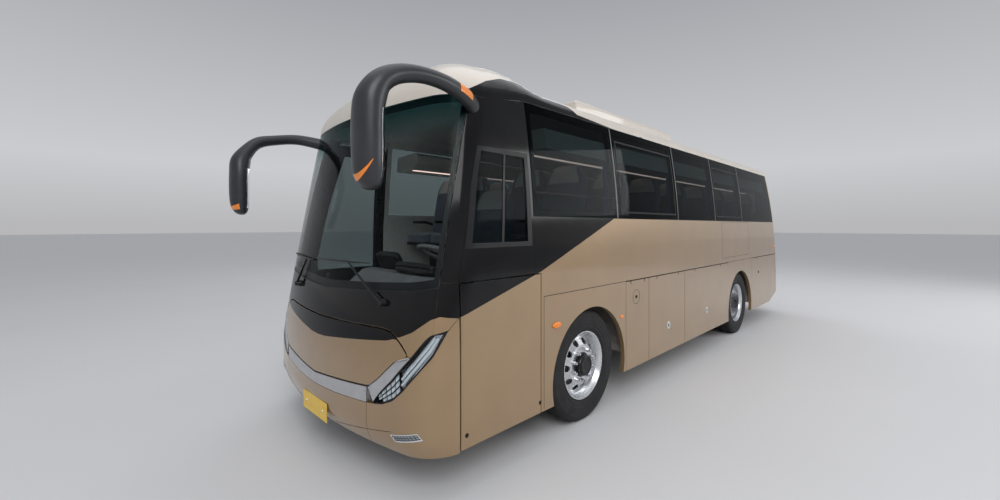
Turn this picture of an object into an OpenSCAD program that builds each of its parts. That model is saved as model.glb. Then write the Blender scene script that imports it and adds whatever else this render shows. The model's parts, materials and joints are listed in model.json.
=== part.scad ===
// Nine metre touring coach: a hollow body on a low frame, with steered front wheels, twin rear
// wheels, a plug door, luggage doors and service flaps. Sizes are millimetres; +X is forward,
// +Y is the left side and the ground is at Z = 0. Places along X are measured from the front axle.

/* [Output] */
// Sub-part to build, or all

/* [Body] */
// Front axle to rear axle
wheelbase = 4400; // [4200:10:4700]
// Front axle to the front of the bumper
front_overhang = 1920; // [1880:10:2000]
// Rear axle to the back of the bumper
rear_overhang = 2675; // [2500:5:2900]
// Width over the side panels
width = 2500; // [2440:10:2550]
// Lower edge of the skirt above the ground
skirt_z = 295; // [270:5:330]
// Seam between the skirt doors and the side wall
sill_z = 1190; // [1170:5:1210]
// Lower edge of the side glass
belt_z = 1810; // [1770:10:1850]
// Upper edge of the side glass
glass_top = 2710; // [2690:5:2760]
// Upper edge of the windscreen
screen_top = 2645; // [2620:5:2660]
// Rise of the plain roof above the glass
roof_rise = 235; // [200:5:280]
// Rise of the front dome above the glass
dome_rise = 500; // [440:10:560]
// Thickness of walls and panels
wall = 45; // [40:1:50]
// Seam between fixed panels
seam = 0.6; // [0.4:0.1:0.9]
// Clearance round a panel that opens
door_gap = 8; // [7:0.5:10]
// Inward lean of the side, per square metre above the belt
tumble = 62; // [40:1:80]

/* [Front] */
// Radius of the bowed front in plan
front_bow = 4500; // [4000:100:6000]
// Radius of the front corners
front_corner = 300; // [280:5:320]
// Setback of the front for each unit of height
front_rake = 0.1787; // [0.15:0.005:0.2]
// Half width of the windscreen along its curve
screen_half = 1205; // [1190:5:1215]
// Thickness of the windscreen
screen_t = 12; // [8:1:16]
// Thickness of the hinged front flap
flap_t = 22; // [18:1:26]

/* [Rear] */
// Radius of the bowed rear in plan
rear_bow = 6000; // [5000:100:8000]
// Radius of the rear corners
rear_corner = 320; // [280:5:360]
// Setback of the rear for each unit of height
rear_rake = 0.2; // [0.12:0.01:0.22]
// Half width of the engine hatch along the rear
hatch_half = 790; // [700:10:820]
// Lower edge of the engine hatch
hatch_low = 640; // [620:5:680]
// Upper edge of the engine hatch
hatch_top = 1560; // [1500:10:1600]

/* [Wheels] */
// Outer radius of the tyres
tyre_r = 490; // [480:5:495]
// Width of one tyre
tyre_w = 265; // [245:5:275]
// Radius of the rim flange
rim_r = 300; // [290:1:305]
// Side of the body to the outer wall of the tyres
tyre_inset = 50; // [40:5:70]
// Distance between the middles of twin tyres
twin_pitch = 302; // [295:1:320]
// Radius of the front wheel arch
arch_front_r = 576; // [560:2:590]
// Radius of the rear wheel arch
arch_rear_r = 604; // [580:2:620]
// Height of both arches
arch_top = 1014; // [1005:1:1040]
// Middle of the body to the king pins
kingpin_y = 860; // [850:5:870]
// Radius of the king pins
kingpin_r = 20; // [16:1:22]
// Free space beside a turning piece
run_gap = 7; // [6:0.5:9]
// Clearance of a pin in its hole, and of a piece from its seat
fit = 0.3; // [0.2:0.05:0.5]
// Hand holes in a rim
hand_holes = 10; // [8:1:10]

/* [Doors] */
// Front edge of the front side flap, from the axle
flap_front_x = 1500; // [1490:5:1510]
// Rear edge of the front side flap, from the axle
flap_rear_x = 684; // [670:2:700]
// Length of the filler flap behind the front arch
filler_len = 500; // [460:10:540]
// Length of the first luggage door
luggage_len = 970; // [900:10:1040]
// Rear edge of the plug door, from the axle
door_rear_x = 640; // [630:5:660]
// Lower edge of the plug door
door_low = 370; // [350:5:390]
// Upper edge of the plug door
door_top = 2610; // [2590:5:2620]

/* [Cabin] */
// Upper face of the passenger floor
floor_z = 1195; // [1180:5:1205]
// Upper face of the driver's platform
driver_z = 950; // [930:5:970]
// Seat rows on each side
seat_rows = 8; // [6:1:8]
// Distance between seat rows
seat_pitch = 790; // [760:5:800]
// Width of one seat
seat_w = 455; // [430:5:470]

/* [Fittings] */
// Radius of the tow pin holes
tow_r = 22.5; // [20:0.5:25]
// Thickness of the tow lugs
tow_t = 30; // [25:1:35]
// Width of a number plate
plate_w = 440; // [420:5:520]
// Height of a number plate
plate_h = 140; // [110:5:140]
// Thickness of a number plate
plate_t = 4; // [2:0.5:6]
// Distance between the plate screws
plate_pitch = 300; // [280:5:320]
// Radius of the plate screw holes
plate_hole_r = 3.5; // [3:0.25:4]
// Forward reach of the mirrors from the axle
mirror_reach = 2210; // [2180:10:2260]
// Middle of the body to the outer side of a mirror
mirror_y = 1330; // [1320:5:1350]

/* [Hidden] */
$fn = 48;
deg = 180 / PI;
half = width / 2;
rear_axle_x = -wheelbase;
rear_x = -(wheelbase + rear_overhang);
// Moves the front axle to its place from the middle of the overall length
axle_x = -(mirror_reach + rear_x) / 2;
paint = "#b7a078";
black = "#17181b";
steel = "#4a4d52";
bright = "#c9ccd0";
glass_c = [0.1, 0.13, 0.15, 0.6];
wheel_z = tyre_r;
tyre_y = half - tyre_inset - tyre_w / 2;
kingpin_wheel = tyre_y - kingpin_y;
arch_front_x = -36;
arch_rear_x = rear_axle_x + 14;
front_panel_end = arch_front_x - arch_front_r - 28;
filler_end = front_panel_end - filler_len;
luggage_mid = filler_end - luggage_len;
luggage_end = arch_rear_x + arch_rear_r + 32;
rear_panel_start = arch_rear_x - arch_rear_r - 30;
flap_top_z = 1375;
inner_y = half - wall;
deck_y = inner_y - 10;

// Body skin
tuck_z = 450;
nose_low = 600;
nose_high = 900;
function front_set(z) = z < tuck_z ? 40 * pow((tuck_z - z) / (tuck_z - skirt_z), 2)
    : z < nose_low ? 0
    : z < nose_high ? front_rake / 2 / (nose_high - nose_low) * pow(z - nose_low, 2)
    : front_rake * (nose_high - nose_low) / 2 + front_rake * (z - nose_high);
tail_low = 600;
tail_high = 1200;
function rear_set(z) = z < tail_low ? 0
    : z < tail_high ? rear_rake / 2 / (tail_high - tail_low) * pow(z - tail_low, 2)
    : rear_rake * (tail_high - tail_low) / 2 + rear_rake * (z - tail_high);
tumble_z = 1350;
function half_at(z) = half - tumble * pow(max(0, z - tumble_z) / 1000, 2);
function end_x(e, z) = e == 0 ? front_overhang - front_set(z) : rear_x + rear_set(z);
function bow_r(e) = e == 0 ? front_bow : rear_bow;
function corner_r(e) = e == 0 ? front_corner : rear_corner;
// Turn of the skin where the bow meets the corner
function bow_turn(e, z) = asin((half_at(z) - corner_r(e)) / (bow_r(e) - corner_r(e)));
function bow_len(e, z) = bow_r(e) * bow_turn(e, z) / deg;
// Length along the skin from the middle to the flat side, and the place where the side begins
function side_s(e, z) = bow_len(e, z) + corner_r(e) * (90 - bow_turn(e, z)) / deg;
function side_x(e, z) = end_x(e, z)
    - (e == 0 ? 1 : -1) * (bow_r(e) - (bow_r(e) - corner_r(e)) * cos(bow_turn(e, z)));
// Length along the skin for a place along the body
function s_at(e, x, z) = let (dx = (x - side_x(e, z)) * (e == 0 ? 1 : -1))
    dx <= 0 ? side_s(e, z) - dx
    : bow_len(e, z) + corner_r(e) * (acos(dx / corner_r(e)) - bow_turn(e, z)) / deg;
// Point of the skin at length s and height z, d below the surface
function skin(e, s, z, d) = let (dir = e == 0 ? 1 : -1, a = abs(s), b = bow_len(e, z),
    r = corner_r(e), p0 = bow_turn(e, z), over = max(0, a - side_s(e, z)),
    p = a < b ? a / bow_r(e) * deg : min(90, p0 + (a - b) / r * deg),
    px = a < b ? end_x(e, z) - dir * bow_r(e) * (1 - cos(p))
        : side_x(e, z) + dir * (r * cos(p) - over),
    py = a < b ? bow_r(e) * sin(p) : half_at(z) - r + r * sin(p))
    [px - dir * d * cos(p), (s < 0 ? -1 : 1) * (py - d * sin(p)), z];

// Closed panel of thickness t between two edges of the skin, each a function from 0 to 1
module skin_panel(e, low, high, na, nb, t, d0 = 0, flip = false) {
    row = na + 1;
    m = row * (nb + 1);
    pts = [for (k = [0, 1]) for (j = [0 : nb]) for (i = [0 : na])
        let (q = low(i / na) * (1 - j / nb) + high(i / na) * j / nb)
        skin(e, q[0], q[1], d0 + k * t)];
    quads = concat(
        [for (j = [0 : nb - 1]) for (i = [0 : na - 1]) let (o = j * row + i)
            [o, o + row, o + row + 1, o + 1]],
        [for (j = [0 : nb - 1]) for (i = [0 : na - 1]) let (o = m + j * row + i)
            [o + 1, o + row + 1, o + row, o]],
        [for (i = [0 : na - 1]) [i, i + 1, m + i + 1, m + i]],
        [for (i = [0 : na - 1]) let (o = nb * row + i) [m + o, m + o + 1, o + 1, o]],
        [for (j = [0 : nb - 1]) let (o = j * row) [m + o, m + o + row, o + row, o]],
        [for (j = [0 : nb - 1]) let (o = j * row + na) [o, o + row, m + o + row, m + o]]);
    tris = [for (q = quads) each [[q[0], q[1], q[2]], [q[0], q[2], q[3]]]];
    turned = (e == 1) != flip;
    polyhedron(pts, turned ? [for (f = tris) [f[2], f[1], f[0]]] : tris);
}

// Slab of the left side between two depths, inside an outline in X and Z
module side_slab(d0, d1, outline) {
    zs = [for (z = [skirt_z - 100 : 95 : glass_top + 60]) z];
    intersection() {
        translate([rear_x, 0, 0]) rotate([90, 0, 90])
            linear_extrude(-rear_x + front_overhang)
            polygon(concat([for (z = zs) [half_at(z) - d0, z]],
                [for (k = [len(zs) - 1 : -1 : 0]) [half_at(zs[k]) - d1, zs[k]]]));
        translate([0, half + 50, 0]) rotate([90, 0, 0]) linear_extrude(half) polygon(outline);
    }
}
function box4(x0, x1, z0, z1) = [[x0, z0], [x1, z0], [x1, z1], [x0, z1]];
module xz_prism(outline, y0, y1) {
    translate([0, y1, 0]) rotate([90, 0, 0]) linear_extrude(y1 - y0) polygon(outline);
}
module block(x0, x1, y0, y1, z0, z1) {
    translate([x0, y0, z0]) cube([x1 - x0, y1 - y0, z1 - z0]);
}
module at_axle() { translate([axle_x, 0, 0]) children(); }
module right() { mirror([0, 1, 0]) children(); }
module both() { children(); right() children(); }
// Turns a shape made round Z to lie along +Y at a wheel
module wheel_at(x, y) { translate([x, y, wheel_z]) rotate([-90, 0, 0]) children(); }

// Frame and floor
slab = 40;
rail_y = 450;
rail_w = 70;
rail_h = 130;
rail_high = driver_z - slab - rail_h - fit;
rail_low = 345;
module rail(m = 0) {
    a = front_panel_end - 80;
    b = luggage_end + 40;
    translate([0, rail_y + rail_w / 2 + m, 0]) rotate([90, 0, 0]) linear_extrude(rail_w + 2 * m)
        offset(delta = m) polygon([[1560, rail_high], [1560, rail_high + rail_h], [a, rail_high + rail_h],
        [a - 330, rail_low + rail_h], [b + 330, rail_low + rail_h], [b, rail_high + rail_h],
        [rear_x + 330, rail_high + rail_h], [rear_x + 330, rail_high], [b + 30, rail_high],
        [b + 360, rail_low], [a - 360, rail_low], [a - 30, rail_high]]);
}
// Upper and lower corner of each bend of a rail
function rail_bends() = let (a = front_panel_end - 80, b = luggage_end + 40, h = rail_high + rail_h,
    l = rail_low + rail_h) [[[a, h], [a - 30, rail_high]], [[a - 330, l], [a - 360, rail_low]],
    [[b + 330, l], [b + 360, rail_low]], [[b, h], [b + 30, rail_high]]];
rail_slit = 0.4;
module rail_joint(p, q) {
    e = 0.1 * (p - q);
    xz_prism([q - e, q - e + [rail_slit, 0], p + e + [rail_slit, 0], p + e], rail_y - rail_w,
        rail_y + rail_w);
}
module cross_member(x, z) {
    y = rail_y - rail_w / 2 - rail_slit;
    block(x - 40, x + 40, -y, y, z + 10, z + rail_h - 10);
}
tow_z = 330;
tow_front_x = front_overhang - 190;
tow_rear_x = rear_x + 210;
module tow_lug(x, dir) {
    difference() {
        union() {
            translate([x, 0, tow_z]) cylinder(r = 60, h = tow_t);
            block(min(x, x - dir * 150), max(x, x - dir * 150), -60, 60, tow_z, tow_z + tow_t);
            block(x - dir * 150 - 30, x - dir * 150 + 30, -60, 60, tow_z, rail_high + 20);
        }
        translate([x, 0, tow_z - 5]) cylinder(r = tow_r, h = tow_t + 10);
    }
}
module chassis_frame() {
    color(steel) at_axle() {
        // Rails in five lengths, each with the spring towers over its axle
        both() difference() {
            union() {
                rail();
                for (x = [0, rear_axle_x]) block(x - 130, x + 130, rail_y - 20, rail_y + 60,
                    rail_high - 60, rail_high + rail_h);
            }
            for (q = rail_bends()) rail_joint(q[0], q[1]);
        }
        // Cross members between the rails
        for (x = [tow_front_x - 150, 720, front_panel_end + 60, luggage_end - 90,
            rear_panel_start + 90, tow_rear_x + 150]) cross_member(x, rail_high);
        for (x = [filler_end - 100, luggage_mid]) cross_member(x, rail_low);
        tow_lug(tow_front_x, 1);
        tow_lug(tow_rear_x, -1);
    }
}

bay_z = rail_low + rail_h;
arch_wall_y = 560;
module floor() {
    deck_front = 560;
    step_x = 1420;
    color("#8b8578") at_axle() difference() {
        union() {
            // Passenger deck, driver's platform and bay floor
            block(side_x(1, floor_z) + 330, deck_front, -deck_y, deck_y, floor_z - slab, floor_z);
            block(deck_front - 15, step_x, -380, deck_y, driver_z - slab, driver_z);
            block(deck_front - 30, deck_front - 2, 2 - deck_y, deck_y - 2, driver_z - slab - 10,
                floor_z - 10);
            block(luggage_end, front_panel_end - 10, -deck_y, deck_y, bay_z, bay_z + 25);
            // Ledge that carries each side wall
            both() block(side_x(1, floor_z) + 400, deck_front - 40, deck_y - 30, inner_y - 0.5, floor_z - 2,
                floor_z + 25);
            // Walls of the bays and wheel boxes, sunk into the deck
            top = floor_z - slab / 2;
            for (x = [front_panel_end - 40, filler_end - 15, luggage_mid - 15, luggage_end])
                block(x, x + 30, -deck_y, deck_y, bay_z + 10, top);
            block(rear_panel_start - 20, rear_panel_start + 10, -deck_y, deck_y, 420, top);
            both() {
                block(front_panel_end - 25, deck_front - 10, arch_wall_y - 30, arch_wall_y,
                    rail_high + rail_h, top);
                block(rear_panel_start, luggage_end + 15, arch_wall_y - 30, arch_wall_y,
                    rail_high + rail_h, top);
            }
            // Entry steps, risers and the side of the well
            for (k = [[380, -1185, -885], [665, -915, -645], [driver_z, -675, -365]])
                block(door_rear_x - 15, step_x - 5, k[1], k[2], k[0] - slab, k[0]);
            block(door_rear_x - 10, step_x - 10, -910, -880, 350, 655);
            block(door_rear_x - 10, step_x - 10, -670, -640, 635, driver_z - 10);
            block(door_rear_x - 30, door_rear_x, 5 - deck_y, -370, 345, driver_z - 4);
            block(deck_front - 20, door_rear_x - 10, 10 - deck_y, -375, driver_z - slab + 5, driver_z - 8);
        }
        both() rail(fit);
    }
}
module engine() {
    color("#5b5e60") at_axle() {
        block(rear_x + 480, rear_panel_start - 330, -390, 390, 430, 1130);
        block(rear_panel_start - 330, rear_panel_start - 60, -230, 230, 450, 780);
        foot = rail_y - rail_w / 2 - fit;
        for (x = [rear_x + 620, rear_panel_start - 500])
            block(x - 60, x + 60, -foot, foot, rail_high + 30, rail_high + 70);
    }
}

// Axles and steering
beam_z = 400;
lug_low = 355;
lug_high = 595;
lug_t = 30;
boss_r = 40;
rod_x = -200;
rod_z = 330;
module front_axle() {
    color(steel) at_axle() {
        difference() {
            union() {
                block(-45, 45, -kingpin_y, kingpin_y, beam_z, beam_z + 85);
                for (y = [-kingpin_y, kingpin_y])
                    translate([0, y, lug_low + lug_t + run_gap])
                        cylinder(r = boss_r, h = lug_high - lug_low - lug_t - 2 * run_gap);
            }
            for (y = [-kingpin_y, kingpin_y])
                translate([0, y, 0]) cylinder(r = kingpin_r + fit, h = 900);
        }
        both() block(-55, 55, rail_y - 50, rail_y + 50, beam_z + 85, rail_high - 60);
    }
}
module knuckle(side) {
    web = boss_r + run_gap;
    translate([0, side * kingpin_y, 0]) {
        translate([0, 0, lug_low]) cylinder(r = kingpin_r, h = lug_high + lug_t - lug_low);
        for (z = [lug_low, lug_high])
            block(-45, 45, side > 0 ? -35 : -web - 30, side > 0 ? web + 30 : 35, z, z + lug_t);
        block(-45, 45, side > 0 ? web : -web - 30, side > 0 ? web + 30 : -web,
            lug_low, lug_high + lug_t);
        translate([0, side * (web + 25), wheel_z]) rotate([-side * 90, 0, 0])
            cylinder(r = spindle_r, h = kingpin_wheel + hub_bore_end - web - 25 - run_gap);
        // Steering arm with the ball pin under its end
        block(rod_x - 30, -40, -25, 25, lug_low, lug_low + lug_t);
        translate([rod_x, 0, rod_z - 25]) cylinder(r = 12, h = lug_low - rod_z + 30);
    }
}
module knuckle_left() { color(steel) at_axle() knuckle(1); }
module knuckle_right() { color(steel) at_axle() knuckle(-1); }
module track_rod() {
    eye_h = 32;
    color(steel) at_axle() difference() {
        union() {
            for (y = [-kingpin_y, kingpin_y])
                translate([rod_x, y, rod_z - eye_h / 2]) cylinder(r = 32, h = eye_h);
            translate([rod_x, -kingpin_y, rod_z]) rotate([-90, 0, 0])
                cylinder(r = 15, h = 2 * kingpin_y);
        }
        for (y = [-kingpin_y, kingpin_y])
            translate([rod_x, y, rod_z - 60]) cylinder(r = 12 + fit, h = 120);
    }
}
axle_tube = 75;
module rear_axle() {
    color(steel) at_axle() translate([rear_axle_x, 0, wheel_z]) {
        rotate([-90, 0, 0]) translate([0, 0, -560]) cylinder(r = axle_tube, h = 1120);
        sphere(r = 205);
        for (s = [-1, 1]) rotate([-s * 90, 0, 0])
            cylinder(r = rear_spindle_r, h = rear_disc_y + 20);
        for (s = [-1, 1]) translate([-60, s * rail_y - 50, 0])
            cube([120, 100, rail_high - 60 - wheel_z]);
    }
}

// Wheels, made round Z with the outer face up
spindle_r = 40;
hub_bore_end = 40;
rear_spindle_r = 62;
rear_disc_y = tyre_y - twin_pitch / 2;
half_rim = tyre_w * 0.44;
module rim_barrel() {
    h = half_rim;
    rotate_extrude($fn = 72) polygon([[rim_r, -h], [rim_r, -h + 9], [rim_r - 14, -h + 11],
        [rim_r - 14, h - 11], [rim_r, h - 9], [rim_r, h], [rim_r - 8, h], [rim_r - 24, h - 18],
        [rim_r - 36, h - 40], [rim_r - 36, 30 - h], [rim_r - 24, 12 - h], [rim_r - 8, -h]]);
}
module nuts(n, r, z) {
    for (k = [0 : n - 1]) rotate(k * 360 / n + 18) translate([r, 0, z]) {
        cylinder(r = 17, h = 26, $fn = 6);
        cylinder(r = 11, h = 44, $fn = 12);
    }
}
module hand_hole_cut(z) {
    for (k = [0 : hand_holes - 1]) rotate(k * 360 / hand_holes) translate([205, 0, z])
        cylinder(r = 29, h = 160, $fn = 24);
}
module front_rim() {
    difference() {
        union() {
            rim_barrel();
            rotate_extrude($fn = 72) polygon([[rim_r - 34, 20], [rim_r - 34, 40], [228, 52],
                [178, 88], [150, 92], [40, 92], [40, 80], [146, 80], [172, 74], [222, 38]]);
            cylinder(r = 108, h = 92);
            cylinder(r = 92, h = 128);
            translate([0, 0, 128]) cylinder(r1 = 84, r2 = 70, h = 14);
            translate([0, 0, -50]) cylinder(r = 88, h = 60);
            nuts(10, 142, 90);
        }
        hand_hole_cut(-10);
        translate([0, 0, -60]) cylinder(r = spindle_r + fit, h = 60 + hub_bore_end);
    }
}
module rear_rims() {
    p = twin_pitch / 2;
    difference() {
        union() {
            for (z = [-p, p]) translate([0, 0, z]) rim_barrel();
            rotate_extrude($fn = 72) polygon([[rim_r - 34, -p + 60], [rim_r - 34, -p + 84],
                [232, -40], [190, -14], [110, -12], [110, 14], [190, 14], [232, 40],
                [rim_r - 34, p - 84], [rim_r - 34, p - 60], [226, 60], [184, 34], [110, 34],
                [110, -34], [184, -34], [226, -60]]);
            translate([0, 0, -60]) cylinder(r = 124, h = 150);
            translate([0, 0, 90]) cylinder(r = 104, h = 90);
            translate([0, 0, 180]) cylinder(r1 = 96, r2 = 80, h = 16);
            nuts(10, 150, 33);
        }
        hand_hole_cut(-80);
        translate([0, 0, -70]) cylinder(r = rear_spindle_r + fit, h = 70 + 20 + run_gap);
    }
}
module tyre() {
    w = tyre_w / 2;
    bead = half_rim - 12;
    rotate_extrude($fn = 72) polygon([for (m = [-1, 1]) each let (side = [
        [rim_r - 11, bead], [rim_r + 5, bead + 4], [rim_r + 32, w - 8], [rim_r + 95, w],
        [tyre_r - 52, w - 2], [tyre_r - 18, w - 12], [tyre_r - 3, w - 30], [tyre_r, w - 48]])
        m < 0 ? [for (q = side) [q[0], -q[1]]] : [for (k = [7 : -1 : 0]) side[k]]]);
}
module rim_front_left() { color(bright) at_axle() wheel_at(0, tyre_y) front_rim(); }
module rim_front_right() { color(bright) at_axle() right() wheel_at(0, tyre_y) front_rim(); }
module rims_rear_left() { color(bright) at_axle() wheel_at(rear_axle_x, rear_disc_y) rear_rims(); }
module rims_rear_right() {
    color(bright) at_axle() right() wheel_at(rear_axle_x, rear_disc_y) rear_rims();
}
module twin() { for (z = [-1, 1]) translate([0, 0, z * twin_pitch / 2]) tyre(); }
module tyre_front_left() { color("#202123") at_axle() wheel_at(0, tyre_y) tyre(); }
module tyre_front_right() { color("#202123") at_axle() right() wheel_at(0, tyre_y) tyre(); }
module tyres_rear_left() { color("#202123") at_axle() wheel_at(rear_axle_x, rear_disc_y) twin(); }
module tyres_rear_right() {
    color("#202123") at_axle() right() wheel_at(rear_axle_x, rear_disc_y) twin();
}

// Side walls and glass
driver_x = 765;
pane_x = [driver_x - 9, -504, -1950, -3250, -4510, side_x(1, 2250) + 40];
pane_margin = 55;
right_pane_x = door_rear_x - door_gap - 3;
glass_t = 8;
glass_seat = 9;
// Outline of a pane; the last one follows the rake of the rear
function rear_line(z, m) = side_x(1, z) + m;
function pane_outline(k, x0, m, z0, z1) = let (x = (k == 0 ? x0 : pane_x[k]) - m)
    k < 4 ? box4(pane_x[k + 1] + m, x, z0, z1)
    : [[rear_line(z0, 40 + m), z0], [x, z0], [x, z1], [rear_line(z1, 40 + m), z1]];
module window_cuts(x0) {
    for (k = [0 : 4]) xz_prism(pane_outline(k, x0, pane_margin, belt_z + pane_margin,
        glass_top - pane_margin), half - 300, half + 10);
}
function wall_rear() = [for (k = [0 : 8]) let (z = sill_z + k * (glass_top - sill_z) / 8)
    [rear_line(z, 2), z]];
module side_wall(front_x, x0) {
    difference() {
        side_slab(0, wall, concat([[min(front_x, flap_rear_x - seam), sill_z],
            [min(front_x, flap_rear_x - seam), flap_top_z], [front_x, flap_top_z],
            [front_x, glass_top]],
            [for (k = [8 : -1 : 0]) wall_rear()[k]]));
        side_slab(-20, glass_seat, [[rear_line(belt_z - 1, 36), belt_z - 1], [front_x + 20, belt_z - 1],
            [front_x + 20, glass_top + 80], [rear_line(glass_top + 80, 36), glass_top + 80]]);
        window_cuts(x0);
    }
    for (d = [[filler_end, front_panel_end], [luggage_mid, filler_end], [luggage_end, luggage_mid],
        rear_flap_x]) for (x = hinge_x(d[0], d[1])) hinge_lug(x, hinge_top);
}
// Outline of the driver's window, as edges of the skin
driver_post = 16;
pillar_s = 1325;
function driver_edge(z, m) = max(pillar_s + driver_post + m,
    s_at(0, min(1440, side_x(0, z) + 60) - m, z));
module driver_panel(d0, t, x0, z0, z1, m) {
    skin_panel(0, function (a) [driver_edge(z0 + a * (z1 - z0), m), z0 + a * (z1 - z0)],
        function (a) [s_at(0, x0, z0 + a * (z1 - z0)), z0 + a * (z1 - z0)], 6, 5, t, d0,
        flip = true);
}
module wall_left() {
    color(paint) at_axle() {
        side_wall(driver_x, pane_x[0]);
        difference() {
            skin_panel(0, function (a) [pillar_s + seam, span(a, flap_top_z, screen_top - 1)],
                function (a) let (z = span(a, flap_top_z, glass_top - 1))
                [s_at(0, driver_x + seam, z), z], 8, 6, wall, flip = true);
            driver_panel(-20, wall + 60, driver_x + 50, 1610, 2270, 0);
        }
        for (x = side_flap_hinges) hinge_lug(x, side_flap_top);
    }
}
module wall_right() {
    color(paint) at_axle() right() {
        side_wall(door_rear_x - door_gap, right_pane_x);
        z0 = door_top + door_gap;
        skin_panel(0, function (a) [pillar_s + seam, span(a, z0, screen_top - 1)],
            function (a) let (z = span(a, z0, glass_top - 1)) [s_at(0, driver_x, z), z], 2, 6,
            wall, flip = true);
        side_slab(0, wall, box4(right_pane_x - 2, driver_x + 2, z0, glass_top - 1));
    }
}
module panes(x0) {
    for (k = [0 : 4]) side_slab(0, glass_t + 0.5, pane_outline(k, x0, 3, belt_z + 2, glass_top - 2));
}
module side_glass() {
    color(glass_c) at_axle() {
        panes(pane_x[0]);
        right() panes(right_pane_x);
        driver_panel(4, glass_t, driver_x + 51, 1611, 2269, 1);
    }
}

// Skirt panels round the wheels, and the flaps and doors between them
module arch_cut(x, r) {
    translate([x, half + 50, arch_top - r]) rotate([90, 0, 0]) cylinder(r = r, h = half / 2, $fn = 96);
}
module front_arch(x1) {
    difference() {
        side_slab(0, wall, box4(front_panel_end + seam, x1, skirt_z, sill_z - seam));
        arch_cut(arch_front_x, arch_front_r);
    }
}
module skirt_panels() {
    color(paint) at_axle() {
        front_arch(flap_rear_x - seam);
        right() front_arch(door_rear_x - door_gap);
        both() difference() {
            side_slab(0, wall, box4(rear_panel_start + seam, luggage_end - seam, skirt_z,
                sill_z - seam));
            arch_cut(arch_rear_x, arch_rear_r);
        }
    }
}
// Hinges: lugs under the side wall hold pins that turn in the top edge of a door
hinge_in = 9;
hinge_pin_r = 4;
hinge_top = sill_z - door_gap - 2;
function hinge_x(x0, x1) = [x0 + 0.2 * (x1 - x0), x1 - 0.2 * (x1 - x0)];
module hinge_lug(x, top) {
    block(x - 6, x + 6, half - 2 * hinge_in + 2, half - 2, top - 2 * hinge_in + 3, top + 20);
    translate([x - 22, half - hinge_in, top - hinge_in]) rotate([0, 90, 0])
        cylinder(r = hinge_pin_r, h = 44, $fn = 24);
}
module hinge_cut(x, top) {
    block(x - 9, x + 9, half - 4 * hinge_in, half + 5, top - 3 * hinge_in, top + 5);
    translate([x - 24, half - hinge_in, top - hinge_in]) rotate([0, 90, 0])
        cylinder(r = hinge_pin_r + fit, h = 48, $fn = 24);
}
module skirt_door(x0, x1, latch) {
    difference() {
        side_slab(0, wall, box4(x0 + door_gap / 2, x1 - door_gap / 2, skirt_z, hinge_top));
        for (x = hinge_x(x0, x1)) hinge_cut(x, hinge_top);
        for (x = latch) translate([x, half + 10, 590]) rotate([90, 0, 0])
            cylinder(r = 36, h = 25, $fn = 24);
    }
    for (x = latch) translate([x, half - 2, 590]) {
        rotate([90, 0, 0]) cylinder(r = 36, h = 14, $fn = 24);
    }
}
module filler_flap() { skirt_door(filler_end, front_panel_end, []); }
module luggage_1() { skirt_door(luggage_mid, filler_end, [(luggage_mid + filler_end) / 2]); }
module luggage_2() { skirt_door(luggage_end, luggage_mid, [(luggage_end + luggage_mid) / 2]); }
rear_flap_x = [rear_x + 560, rear_panel_start];
module rear_flap() {
    top = hinge_top;
    difference() {
        side_slab(0, wall, concat([[rear_panel_start - door_gap / 2, skirt_z],
            [rear_panel_start - door_gap / 2, top]], [for (k = [0 : 4])
            let (z = top - k * (top - 430) / 4) [side_x(1, z) + door_gap, z]],
            [[rear_x + 900, skirt_z]]));
        for (x = hinge_x(rear_flap_x[0], rear_flap_x[1])) hinge_cut(x, top);
    }
}
module filler_flap_left() { color(paint) at_axle() filler_flap(); }
module filler_flap_right() { color(paint) at_axle() right() filler_flap(); }
module luggage_door_left_1() { color(paint) at_axle() luggage_1(); }
module luggage_door_left_2() { color(paint) at_axle() luggage_2(); }
module luggage_door_right_1() { color(paint) at_axle() right() luggage_1(); }
module luggage_door_right_2() { color(paint) at_axle() right() luggage_2(); }
module rear_flap_left() { color(paint) at_axle() rear_flap(); }
module rear_flap_right() { color(paint) at_axle() right() rear_flap(); }
side_flap_top = flap_top_z - door_gap - 2;
side_flap_hinges = [flap_rear_x + 160, flap_front_x - 280];
module side_flap_left() {
    z0 = skirt_z;
    z1 = side_flap_top;
    color(paint) at_axle() difference() {
        skin_panel(0, function (a) let (z = z0 + a * (z1 - z0))
            [s_at(0, flap_front_x - door_gap, z), z], function (a) let (z = z0 + a * (z1 - z0))
            [s_at(0, flap_rear_x + door_gap, z), z], 6, 5, wall, flip = true);
        for (x = side_flap_hinges) hinge_cut(x, z1);
    }
}

// Plug door on the right, with two arms on one upright
door_window_low = 1250;
arm_x = 1330;
arm_y = 1130;
arm_tip_x = 930;
arm_tip_y = 1105;
function door_edge(z) = z < flap_top_z ? s_at(0, flap_front_x - door_gap, z) : pillar_s + door_gap;
module door_skin(m, z0, z1, t, d0) {
    skin_panel(0, function (a) let (z = z0 + a * (z1 - z0)) [door_edge(z) + m, z],
        function (a) let (z = z0 + a * (z1 - z0)) [s_at(0, door_rear_x + m, z), z],
        10, 6, t, d0, flip = true);
}
module plug_door() {
    color(black) at_axle() right() {
        difference() {
            door_skin(0, door_low, door_top, wall, 0);
            door_skin(90, door_window_low, door_top - 90, wall + 60, -20);
        }
        // Brackets that the arms carry
        for (z = [800, 2000 - 890]) translate([arm_tip_x, arm_tip_y, z]) {
            difference() {
                union() {
                    cylinder(r = 30, h = 30);
                    block(-30, 30, 0, inner_y - arm_tip_y + 5, 0, 30);
                }
                translate([0, 0, -5]) cylinder(r = 14 + fit, h = 50);
            }
        }
    }
}
module plug_door_glass() {
    color(glass_c) at_axle() right() door_skin(91, door_window_low + 1, door_top - 91, glass_t, 6);
}
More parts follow.
